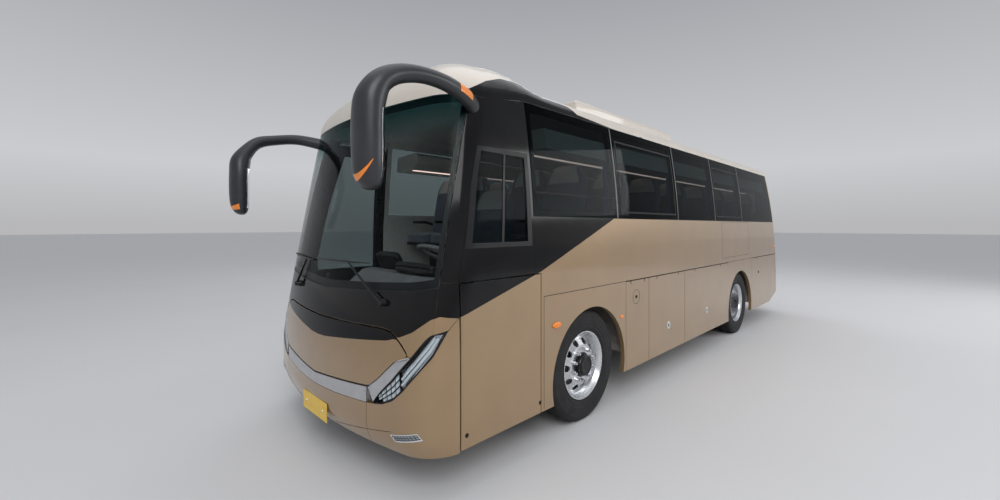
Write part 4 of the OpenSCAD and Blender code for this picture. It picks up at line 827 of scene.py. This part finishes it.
MIRROR_DROP = {1: 0, -1: 90}         # the right mirror hangs lower
AROUND, STATIONS = 40, span(0, 11, 66)
bm, lens, looks = bmesh.new(), bmesh.new(), bmesh.new()
for sg, drop in MIRROR_DROP.items():
    rows = [[bm.verts.new(place(times((1, sg, 1), mirror_at(drop, t, 2 * pi * k / AROUND))))
             for k in range(AROUND)] for t in STATIONS]
    for a, b in zip(rows, rows[1:]):
        for k in range(AROUND):
            n = (k + 1) % AROUND
            bm.faces.new((a[k], a[n], b[n], b[k]))
    bm.faces.new(rows[0])
    bm.faces.new(rows[-1])

    def head(u, v, d):
        """Crescent lamp: thick under the chin, drawn out to a point on the outer side."""
        k = (u - 0.33) / 0.67
        low = 9.35 + 0.3 * (1 - k * k) - 0.9 * max(0, k) ** 2
        return mirror_at(drop, low - v * (0.62 * (1 - u) ** 0.7 + 0.02), lerp(-1.2, 1.3, u), 2.2 - d)
    arm = lambda u, v, d: mirror_at(drop, lerp(0.9, 1.6, u), lerp(0.9, 1.9, v), 2.2 - d)
    back = lambda u, v, d: mirror_at(drop, lerp(6.7, 9.4, u), lerp(2.0, 4.28, v), 1.6 - d)
    add_grid(lens, flip(head, sg), V24, span(0, 1, 4), 4)
    add_grid(lens, flip(arm, sg), span(0, 1, 10), span(0, 1, 6), 4)
    add_grid(looks, flip(back, sg), V24, span(0, 1, 16), 4)
finish_mesh("mirror_housings", bm, "shell", angle=60, node="mirrors", slot="black_gloss")
finish_mesh("mirror_lamps", lens, "amber", bevel=0.001, slot="lamp_amber")
finish_mesh("mirror_looks", looks, "mirror", bevel=0.001)

# Wipers: pivot, end of the arm, and both ends of the blade, along the skin and in height
WIPERS = (((780, 1225), (305, 1480), (-270, 1472), (560, 1476)),
          ((-640, 1225), (-490, 1455), (-1020, 1475), (-330, 1452)))


def between(a, b, t, d):
    return skin(0, lerp(a[0], b[0], t), lerp(a[1], b[1], t), d)


bm = bmesh.new()
for pivot, bend, tip, over in WIPERS:
    steps = span(0, 1, 12)
    add_tube(bm, [between(pivot, bend, t, -30 + 8 * t) for t in steps],
             [13 - 6 * t for t in steps], 10, 0, 0.6)
    add_tube(bm, [between(tip, over, t, -17 - 6 * sin(pi * t)) for t in V24],
             [4 + 3 * sin(pi * t) for t in V24], 8, 0)
    add_tube(bm, [between(tip, over, t, -6) for t in V24], 5, 8, 1, 0.5)
    for t in span(0.06, 0.94, 5):
        add_tube(bm, [between(tip, over, t, -4), between(tip, over, t, -20)], 4, 8, 0)
    out = (skin(0, *pivot, -1) - skin(0, *pivot, 0)).normalized()
    add_lathe(bm, [(0, -2), (26, -2), (26, 14), (21, 22), (20, 40), (14, 46), (0, 47)], 28,
              place(skin(0, *pivot)), out)
finish_mesh("wiper_arms", bm, ["satin", "seal"], node="wipers")

# Wheels: profiles are (radius, outward from the middle)
WHEEL_Z, REAR_AXLE, FRONT_Y, TWIN_Y, TWIN_HALF = 490, -4400, 1067.5, 916.5, 151
TYRE = [(289, 104.6), (297, 107.5), (305, 109.5), (318, 117.5), (332, 124.5), (336, 126.6), (340, 125.6),
        (364, 129.5), (368, 131.4), (373, 130.6), (395, 132.4), (420, 131.8), (438, 130.2), (442, 131.4),
        (447, 129.4), (460, 125.5), (472, 120.4), (481, 113), (486.5, 103), (488.6, 93), (489.6, 82),
        (489.7, 76), (478, 74.5), (478, 66.5), (489.8, 65), (489.9, 34), (477, 32.5), (477, 24.5), (490, 23)]
FRONT_HUB = [(93, 94), (109, 94), (108, 98), (94, 101), (93.5, 126), (88, 131), (86, 141), (80, 145),
             (66, 146), (62, 143.6), (40, 144.5), (0, 145)]
REAR_HUB = [(105, 92), (105.5, 176), (99, 183), (97, 194), (90, 198), (70, 198.5), (64, 196.8), (40, 197),
            (0, 197.5)]
FRONT_BOLTS, REAR_BOLTS = (74, 145, 8), (80, 197, 10)        # radius of the ring, height, count


def tyre(name, node, x, ys, sg, body):
    bm = bmesh.new()
    prof = TYRE + [(r, -h) for r, h in TYRE[::-1]]
    for y in ys:
        add_lathe(bm, prof + prof[:1], 144, place((x, sg * y, WHEEL_Z)), (0, sg, 0))
    finish_mesh(name, bm, "rubber", body, angle=34, node=node, slot="tyre_rubber")


def hub(name, x, y, sg, prof, bolts, body):
    bm = bmesh.new()
    at = place((x, sg * y, WHEEL_Z))
    add_lathe(bm, prof, 72, at, (0, sg, 0))
    r, h, n = bolts
    for k in range(n):
        a = 2 * pi * (k + 0.5) / n
        add_lathe(bm, [(0, h - 3), (7, h - 3), (7, h + 3), (5.5, h + 5), (0, h + 5)], 6,
                  at + Vector((cos(a), 0, sin(a))) * r / 1000, (0, sg, 0), 1)
    finish_mesh(name, bm, ["satin", "steel"], body)


for side, sg in (("left", 1), ("right", -1)):
    front, rear = "wheel_front_" + side, "wheels_rear_" + side
    tyre("front_tyre_" + side, "tyre_front_" + side, 0, (FRONT_Y,), sg, front)
    tyre("rear_tyres_" + side, "tyres_rear_" + side, REAR_AXLE,
         (TWIN_Y - TWIN_HALF, TWIN_Y + TWIN_HALF), sg, rear)
    hub("front_hub_" + side, 0, FRONT_Y, sg, FRONT_HUB, FRONT_BOLTS, front)
    hub("rear_hub_" + side, REAR_AXLE, TWIN_Y, sg, REAR_HUB, REAR_BOLTS, rear)


# Seats: one upholstered seat, placed in rows
def pillow(bm, size, place_at, shape=lambda x, y, z: (x, y, z), n=10, mat_at=None):
    """A padded block: a cube's faces drawn round, then shaped by a function of (x, y, z) from -1 to 1."""
    seen = {}

    def vert(c):
        key = tuple(round(v, 4) for v in c)
        if key not in seen:
            k = sum(abs(v) ** 6 for v in c) ** (1 / 6)
            q = shape(*[v / k for v in c])
            seen[key] = bm.verts.new(place_at(Vector([q[i] * size[i] for i in range(3)])))
        return seen[key]
    g = span(-1, 1, n)
    for axis in range(3):
        for side in (-1, 1):
            at = lambda a, b: [*(a, b)[:axis], side, *(a, b)[axis:]]
            for i in range(n):
                for j in range(n):
                    q = [vert(at(g[a], g[b])) for a, b in ((i, j), (i + 1, j), (i + 1, j + 1), (i, j + 1))]
                    mid = at(g[i] + 1 / n, g[j] + 1 / n)
                    bm.faces.new(q).material_index = mat_at(*mid) if mat_at else 0


WING = 0.62                          # where the side bolsters start, as a share of the half width


def dent(v, at, width):
    return exp(-((v - at) / width) ** 2)


def seat_base(x, y, z):
    if z <= 0:
        return x, y, z
    groove = 0.07 * (dent(abs(y), WING, 0.05) + dent(x, 0.1, 0.04))
    crown = 0.16 * (1 - x * x) * (1 - y * y) + 0.22 * max(0, abs(y) - WING)
    return x, y, z * (1 + crown - groove)


def seat_back(x, y, z):
    narrow = y * (1 - 0.2 * smooth((z - 0.55) / 0.4))
    if x <= 0:
        return x, narrow, z
    wing = 0.5 * max(0, abs(y) - WING) - 0.14 * (dent(abs(y), WING, 0.05) + dent(z, 0.5, 0.03))
    return x * (1 + wing) + 0.35 * dent(z, 0.72, 0.16) * (1 - y * y), narrow, z


def add_seat(cloth, hard, ox, oy, oz):
    lean = Matrix.Rotation(radians(-11.5), 3, "Y")
    pillow(cloth, (232, 222, 56), lambda p: place(p + Vector((ox + 222, oy, oz + 398))), seat_base)
    pillow(cloth, (48, 222, 352), lambda p: place(lean @ p + Vector((ox - 42, oy, oz + 776))), seat_back, 12,
           lambda x, y, z: 1 if z > 0.52 and abs(y) < 0.86 else 0)
    add_box(hard, ox - 20, ox + 430, oy - 218, oy + 218, oz + 318, oz + 346)
    for y in (oy + 226, oy - 226):
        add_tube(hard, [(ox + 20, y, oz + 560), (ox + 150, y, oz + 590), (ox + 330, y, oz + 590)],
                 [14, 18, 14], 10)


SEAT_ROWS, SEAT_PITCH, SEAT_X, SEAT_Y, SEAT_Z = 8, 790, -60, (887.5, 422.5), 1195
cloth, hard = bmesh.new(), bmesh.new()
for x in (SEAT_X - SEAT_PITCH * k for k in range(SEAT_ROWS)):
    for sg in SIDES:
        for y in SEAT_Y:
            add_seat(cloth, hard, x, sg * y, SEAT_Z)
        add_box(hard, x + 100, x + 330, sg * 655 - 130, sg * 655 + 130, SEAT_Z - 1, 1530)
add_seat(cloth, hard, 640, 600, 930)             # the driver's
add_box(hard, 700, 980, 450, 750, 949, 1262)
finish_mesh("seat_upholstery", cloth, ["seat", "cover"], slot="seat_cloth", angle=60,
                      node="seats")
finish_mesh("seat_frames", hard, "satin", bevel=0.004)

# Curtains gathered at the window posts
RACK = GTOP - 330
CURTAIN_LOW, CURTAIN_TOP, CURTAIN_HALF, FOLDS = BELT - 60, RACK - 1, 94, 5.5
ACROSS, DOWN = 88, 36
curtain_y = half_at(RACK) - WALL - 11.5
for sg, side in ((1, "left"), (-1, "right")):
    for k in range(1, 5):
        bm = bmesh.new()

        def fold(u, v):
            tie = 1 - 0.4 * dent(v, 0.38, 0.13)
            x = PANE[k] + CURTAIN_HALF * tie * (2 * u - 1)
            deep = sqrt(44 ** 2 - (34.2 * tie) ** 2) / 4          # deeper folds where it is gathered
            y = curtain_y + deep * sin(2 * pi * (FOLDS * u + 0.12 * sin(7 * v + k)))
            return Vector((x, sg * y, lerp(CURTAIN_LOW, CURTAIN_TOP, v)))
        rows = [[bm.verts.new(place(fold(u, v))) for u in span(0, 1, ACROSS)] for v in span(0, 1, DOWN)]
        for a, b in zip(rows, rows[1:]):
            for i in range(ACROSS):
                bm.faces.new((a[i], a[i + 1], b[i + 1], b[i]))
        ob = finish_mesh(f"curtain_{side}_{k}", bm, "curtain", slot="curtain_cloth", angle=80,
                         node="curtains" if (sg, k) == (1, 1) else None)

# Plug door and its glass
PANE_LOW, PANE_HIGH, DOOR_FRAME = 1250.0, 2520.0, 90
DOOR_BODY = "plug_door_body"


def door_at(u, z, d):
    """Front to rear over the frame, the glass and the frame again: u runs 0 to 3."""
    a = s_at(0, FLAP_X - GAP, z) if z < FLAP_Z else PILLAR + GAP
    b = s_at(0, DOOR_X, z)
    q = [a, a + DOOR_FRAME, b - DOOR_FRAME, b]
    k = min(2, int(u))
    return skin(0, -lerp(q[k], q[k + 1], u - k), z, d)


zs = sorted({*span(370, 2610, 36), PANE_LOW, PANE_HIGH, FLAP_Z - NEAR, FLAP_Z + NEAR})
bm = bmesh.new()
add_grid(bm, door_at, [0, 0.5, *span(1, 2, 12), 2.5, 3], zs, WALL, within((1, 2), (PANE_LOW, PANE_HIGH)))
for z in (800, 1110):                # eyes for the arm's upright
    add_box(bm, 900, 960, -1210, -1105, z, z + 30)
    add_lathe(bm, [(14.6, 0), (30, 0), (30, 30), (14.6, 30), (14.6, 0)], 36,
              place((930, -1105, z)), (0, 0, 1))
finish_mesh("plug_door_skin", bm, "black", DOOR_BODY, bevel=0.002, node="plug_door",
            slot="black_gloss")
panel("plug_door_pane", lambda u, z, d: door_at(u, z, 6 + d), span(1.002, 1.998, 14),
      span(PANE_LOW + 1, PANE_HIGH - 1, 20), PANE_T, "glass", DOOR_BODY, bevel=0.001,
      node="plug_door_glass", slot="clear_glass")
panel("plug_door_seal",
      lambda u, v, d: door_at(lerp(0.985, 2.015, u), lerp(PANE_LOW - 4, PANE_HIGH + 4, v), d - 1.2),
      [0, 0.03, *span(0.1, 0.9, 10), 0.97, 1], [0, 0.02, *span(0.1, 0.9, 10), 0.98, 1], 3, "seal",
      DOOR_BODY, hole=within((0.03, 0.97), (0.02, 0.98)), bevel=0.0008)
bm = bmesh.new()
rail_s = 60 - s_at(0, DOOR_X, 1100)
add_tube(bm, [skin(0, rail_s, z, d) for z, d in ((760, 45), (770, 85), (1000, 95), (1230, 85), (1240, 45))],
         13, 12)
finish_mesh("plug_door_handrail", bm, "chrome", DOOR_BODY, angle=60)


# Side trims, frames, locks and markers
def on_side(x, z, d):
    return Vector((x, half_at(z) - d, z))


def frame_ring(bm, x0, x1, z0, z1, w, d0, t, f=on_side, sides=SIDES):
    """Flat frame of width w just inside a rectangle of a patch."""
    xs = [x0, x0 + w, *span(x0 + w, x1 - w, 8)[1:-1], x1 - w, x1]
    zs = [z0, z0 + w, *span(z0 + w, z1 - w, 10)[1:-1], z1 - w, z1]
    for sg in sides:
        add_grid(bm, flip(lambda x, z, d: f(x, z, d0 + d), sg), xs, zs, t,
                 within((x0 + w, x1 - w), (z0 + w, z1 - w)))


bm = bmesh.new()
for x in PANE[1:5]:
    add_pair(bm, lambda u, z, d: on_side(x + u, z, d - 1.6), [-7, -5, 0, 5, 7],
             span(BELT + 4, GTOP - 5, 20), 5)
finish_mesh("pane_trims", bm, "post", bevel=0.0008)
bm = bmesh.new()
for k in (1, 3):
    frame_ring(bm, PANE[k + 1] + 62, PANE[k] - 62, BELT + 55, GTOP - 120, 18, -1.8, 3)
add_grid(bm, lambda x, z, d: on_side(x, z, d - 1.5), span(PANE[1] + 20, PANE[0] - 20, 10),
         [1994, 2000, 2006], 3)
finish_mesh("pane_frames", bm, "seal", bevel=0.0008)


def driver_pane(u, z, d):
    return skin(0, lerp(driver_edge(z, 0), s_at(0, DRIVER_REAR, z), u), z, d)


bm = bmesh.new()
add_grid(bm, lambda u, v, d: driver_pane(lerp(-0.045, 1.045, u),
                                         lerp(DRIVER_LOW - 20, DRIVER_HIGH + 20, v), d - 2),
         [0, 0.075, *span(0.15, 0.85, 8), 0.925, 1], [0, 0.05, *span(0.12, 0.88, 10), 0.95, 1], 5,
         within((0.075, 0.925), (0.05, 0.95)))
add_grid(bm, lambda u, z, d: driver_pane(0.52 + u, z, d + 1), [-0.02, 0, 0.02],
         span(DRIVER_LOW + 2, DRIVER_HIGH - 2, 12), 8)
finish_mesh("driver_window_frame", bm, "satin", bevel=0.001)


def mask_seam(u, v, d):
    s = lerp(1302, side_low - 4, u)
    return skin(0, s, table(s, MASK_LOW) - 1 + v, d - 0.6)


bm = bmesh.new()
frame_ring(bm, -4840, -3500, 1262, 1798, 4, -0.5, 1.2)
raised = lambda x, z, d: on_side(x, z, d - 0.6)
add_pair(bm, raised, span(REAR + 420, 652, 40), [1186, 1191], 1.6)
add_pair(bm, raised, [650, 654], span(310, SILL, 16), 1.6)
add_pair(bm, mask_seam, span(0, 1, 16), [-2, 2], 1.6)
add_pair(bm, lambda u, v, d: skin(0, lerp(280, 950, u), lerp(303, 428, u) + v, d - 0.5), span(0, 1, 30),
         [-1.5, 1.5], 1.4)
finish_mesh("panel_seams", bm, "seal")
panel("screen_lower_seal", edge_fn(0, sline(-SCREEN, SCREEN, BASE, -4), sline(-SCREEN, SCREEN, BASE, 5), -2),
      U64, [0, 0.5, 1], 4, "satin", bevel=0.001)


def disc(bm, x, z, sg, prof, n=36, mat=0):
    add_lathe(bm, prof, n, place((x, sg * HALF, z)), (0, sg, 0), mat)


# Side lamps: place along the body, half length, half height, height above the ground, depth
SIDE_LAMPS = ((491, 56, 25, 940, 14), (-555, 31, 16, 852, 8), (REAR + 640, 46, 18, 1344, 12))
bm = bmesh.new()
for sg in SIDES:
    for x, rx, rz, z, h in SIDE_LAMPS:
        start = len(bm.verts)
        add_lathe(bm, [(1000, 0.6), (1000, h * 0.45), (930, h * 0.78), (760, h * 0.95), (0, h)], 48,
                  Vector((0, 0, 0)), (0, sg, 0))
        bm.verts.ensure_lookup_table()
        for v in bm.verts[start:]:
            v.co = place((x + v.co.x * rx, sg * HALF + v.co.y * 1000, z + v.co.z * rz))
finish_mesh("side_lamps", bm, "amber", angle=50, node="side_markers", slot="lamp_amber")

FILLER_X, FILLER_Z, LUGGAGE_X, LUGGAGE_Z = -855, 1011, (-1637, -2869), 590
for side, sg in (("left", 1), ("right", -1)):
    bm = bmesh.new()
    disc(bm, FILLER_X, FILLER_Z, sg, [(74, -0.6), (74, 0.8), (70, 0.8), (70, -0.6), (74, -0.6)], 64, 1)
    disc(bm, FILLER_X, FILLER_Z, sg, [(17, -1), (17, 3), (13, 5), (0, 5)], 32, 1)
    finish_mesh("filler_lock_" + side, bm, ["chrome", "seal"], f"filler_flap_{side}_body")
    for k, x in enumerate(LUGGAGE_X, 1):
        bm = bmesh.new()
        disc(bm, x, LUGGAGE_Z, sg,
             [(44, -1), (44, 3), (40, 5), (35, 4.4), (21, 3.6), (19, 1.5), (0, 1.5)], 48)
        disc(bm, x, LUGGAGE_Z, sg, [(18, 1), (18, 4), (15, 5.4), (0, 5.4)], 32, 1)
        add_box(bm, x - 12, x + 12, *sorted((sg * (HALF + 4), sg * (HALF + 6.6))), LUGGAGE_Z - 3,
                LUGGAGE_Z + 3)
        finish_mesh(f"luggage_lock_{side}_{k}", bm, ["lock", "seal"],
                    f"luggage_{side}_{k}_body", 0.0006)
    bm = bmesh.new()
    disc(bm, -5432, 916, sg, [(22, -1), (22, 3), (17, 5), (0, 5)])
    finish_mesh("rear_flap_lock_" + side, bm, "seal", f"rear_flap_{side}_body")
bm = bmesh.new()
for x, z in ((1445, 381), (700, 376)):
    s = s_at(0, x, z)
    p = skin(0, s, z)
    add_lathe(bm, [(15, -2), (15, 2), (11, 4), (0, 4)], 28, place(p), (skin(0, s, z, -1) - p).normalized())
finish_mesh("side_flap_plugs", bm, "seal", "side_flap_left_body")

# Rear fittings
ROUND_S, ROUND_Z, ROUND_MAT = 990, (880, 1050, 1220, 1385), (0, 1, 0, 2)
bm = bmesh.new()
for s in (ROUND_S, -ROUND_S):
    for z, mat in zip(ROUND_Z, ROUND_MAT):
        c = place(skin(1, s, z, 2))
        out = (skin(1, s, z, -1) - skin(1, s, z, 0)).normalized()
        add_lathe(bm, [(78, -1), (78, 6), (72, 9), (68, 6), (68, 2)], 56, c, out, 3)
        add_lathe(bm, [(69, 1), (66, 6), (52, 9), (50, 7), (34, 9.5), (32, 8), (0, 10)], 56, c, out, mat)
finish_mesh("rear_lamps_round", bm, ["red", "amber", "white_lens", "chrome"])
bm = bmesh.new()
frame_ring(bm, 180, 700, 1080, 1500, 14, -4, 8, on_rear())
add_pair(bm, on_rear(-1), span(190, 690, 10), span(1090, 1490, 8), 2, mat=1)
for z in range(1104, 1104 + 32 * 12, 32):        # slats of the grilles
    add_pair(bm, lambda s, v, d: skin(1, s, z + v, d - 2 - 9 * (1 - v / 20)), span(192, 688, 10),
             [0, 7, 14, 20], 3)
add_grid(bm, on_rear(-6), span(-150, 150, 10), span(700, 730, 3), 7)
finish_mesh("engine_lid_grilles", bm, ["satin", "seal"], "engine_hatch_body", bevel=0.001)
bm = bmesh.new()
frame_ring(bm, 2 - WIN_S, WIN_S - 2, WIN_LOW + 2, WIN_TOP - 2, 50, 12.4, 1.2, on_rear(), (1,))
frame_ring(bm, -WIN_S - 12, WIN_S + 12, WIN_LOW - 12, WIN_TOP + 12, 15, -1.5, 5, on_rear(), (1,))
finish_mesh("rear_window_seal", bm, "seal", bevel=0.001)
panel("high_stop_lamp", on_rear(-6), span(-260, 260, 12), span(2630, 2662, 4), 7, "red", bevel=0.004)

# Plate screws
bm = bmesh.new()
for y in (-150, 150):
    add_lathe(bm, [(0, 0), (3.2, 0), (3.2, 6), (9, 6), (8, 8.5), (0, 9)], 24,
              place((end_x(0, 422) - 3.3, y, 352)), (1, 0, 0))
finish_mesh("plate_screws", bm, "chrome")

# Roof hatches
bm = bmesh.new()
for x in (-5625, -3575):
    pillow(bm, (375, 300, 38), lambda p: place(p + Vector((x, 0, 2955))), n=12)
finish_mesh("roof_hatches", bm, "roof", angle=60)

# Cabin trim: rack lights, instrument hood, screen and switches
bm = bmesh.new()
for sg in SIDES:
    add_box(bm, PANE[5] + 180, 460, *sorted((sg * 806, sg * 850)), RACK - 6, RACK - 0.3)
finish_mesh("rack_lights", bm, "glow", bevel=0.001)
bm = bmesh.new()
hood, screen = (Matrix.Rotation(radians(a), 3, "Y") for a in (-20, 25))
pillow(bm, (95, 250, 42), lambda p: place(hood @ p + Vector((1352, 600, 1392))),
       lambda x, y, z: (x + 0.3 * (1 - y * y) * (z > 0), y, z), 12)
pillow(bm, (30, 170, 95), lambda p: place(screen @ p + Vector((1330, 130, 1430))),
       mat_at=lambda x, y, z: 1 if x < -0.9 else 0)
for i in range(8):
    x, y = 1262 + 4 * (i % 2), 300 - 46 * i
    add_box(bm, x, x + 12, y, y + 34, 1334, 1352, 1)
finish_mesh("dash_trim", bm, ["satin", "black"])

# Running gear and cabin nodes that keep their CAD shape
KEPT = {"chassis_frame": "steel", "door_arm": "steel", "front_axle": "cast", "rear_axle": "cast",
        "knuckle_left": "cast", "knuckle_right": "cast", "track_rod": "cast", "engine": "engine",
        "floor": "floor", "luggage_racks": "rack", "dashboard": "cabin", "steering_wheel": "cabin",
        "number_plates": "plate"}
for n, ob in nodes.items():
    key = "alloy" if n.startswith("rim") else KEPT.get(n)
    if key and not ob.hide_render:
        ob.data.materials.clear()
        ob.data.materials.append(M[key])

# Stage: a pale floor, a sky in soft bands and four lamps
FLOOR_HALF, FLOOR_COLOR, SKY_STRENGTH = 120, (0.62, 0.62, 0.63), 0.95
bm = bmesh.new()
bmesh.ops.create_grid(bm, x_segments=8, y_segments=8, size=FLOOR_HALF)
mesh = bpy.data.meshes.new("studio_floor")
bm.to_mesh(mesh)
bm.free()
mesh.materials.append(material("studio_floor", FLOOR_COLOR, 0.6, vary=0.01, scale=0.6))
ob = bpy.data.objects.new("studio_floor", mesh)
scene.collection.objects.link(ob)
scene.world = bpy.data.worlds.new("studio")
scene.world.use_nodes = True
sky = scene.world.node_tree
sep = add_node(sky, "SeparateXYZ")
link(sky, add_node(sky, "TexCoord"), "Generated", sep, 0)
bands = ramp(sky, sep, "Z", [(0.0, (0.5, 0.5, 0.51)), (0.12, (0.62, 0.63, 0.65)), (0.5, (0.36, 0.37, 0.4)),
                             (1.0, (0.8, 0.82, 0.85))])
link(sky, bands, "Color", sky.nodes["Background"], "Color")
sky.nodes["Background"].inputs["Strength"].default_value = SKY_STRENGTH


def area(name, loc, target, size, power):
    lt = bpy.data.lights.new(name, "AREA")
    lt.shape, lt.size, lt.size_y, lt.energy = "RECTANGLE", size[0], size[1], power
    ob = bpy.data.objects.new(name, lt)
    scene.collection.objects.link(ob)
    ob.location = loc
    ob.rotation_euler = (Vector(target) - Vector(loc)).to_track_quat("-Z", "Y").to_euler()


area("key", (9, 9, 9), (1, 0, 1), (7, 7), 780)
area("top", (0, 0, 10), (0, 0, 0), (14, 9), 230)
area("fill", (-8, 10, 5), (-1, 0, 1.2), (8, 4), 400)
area("back", (-9, -10, 7), (-1, 0, 1), (8, 6), 270)
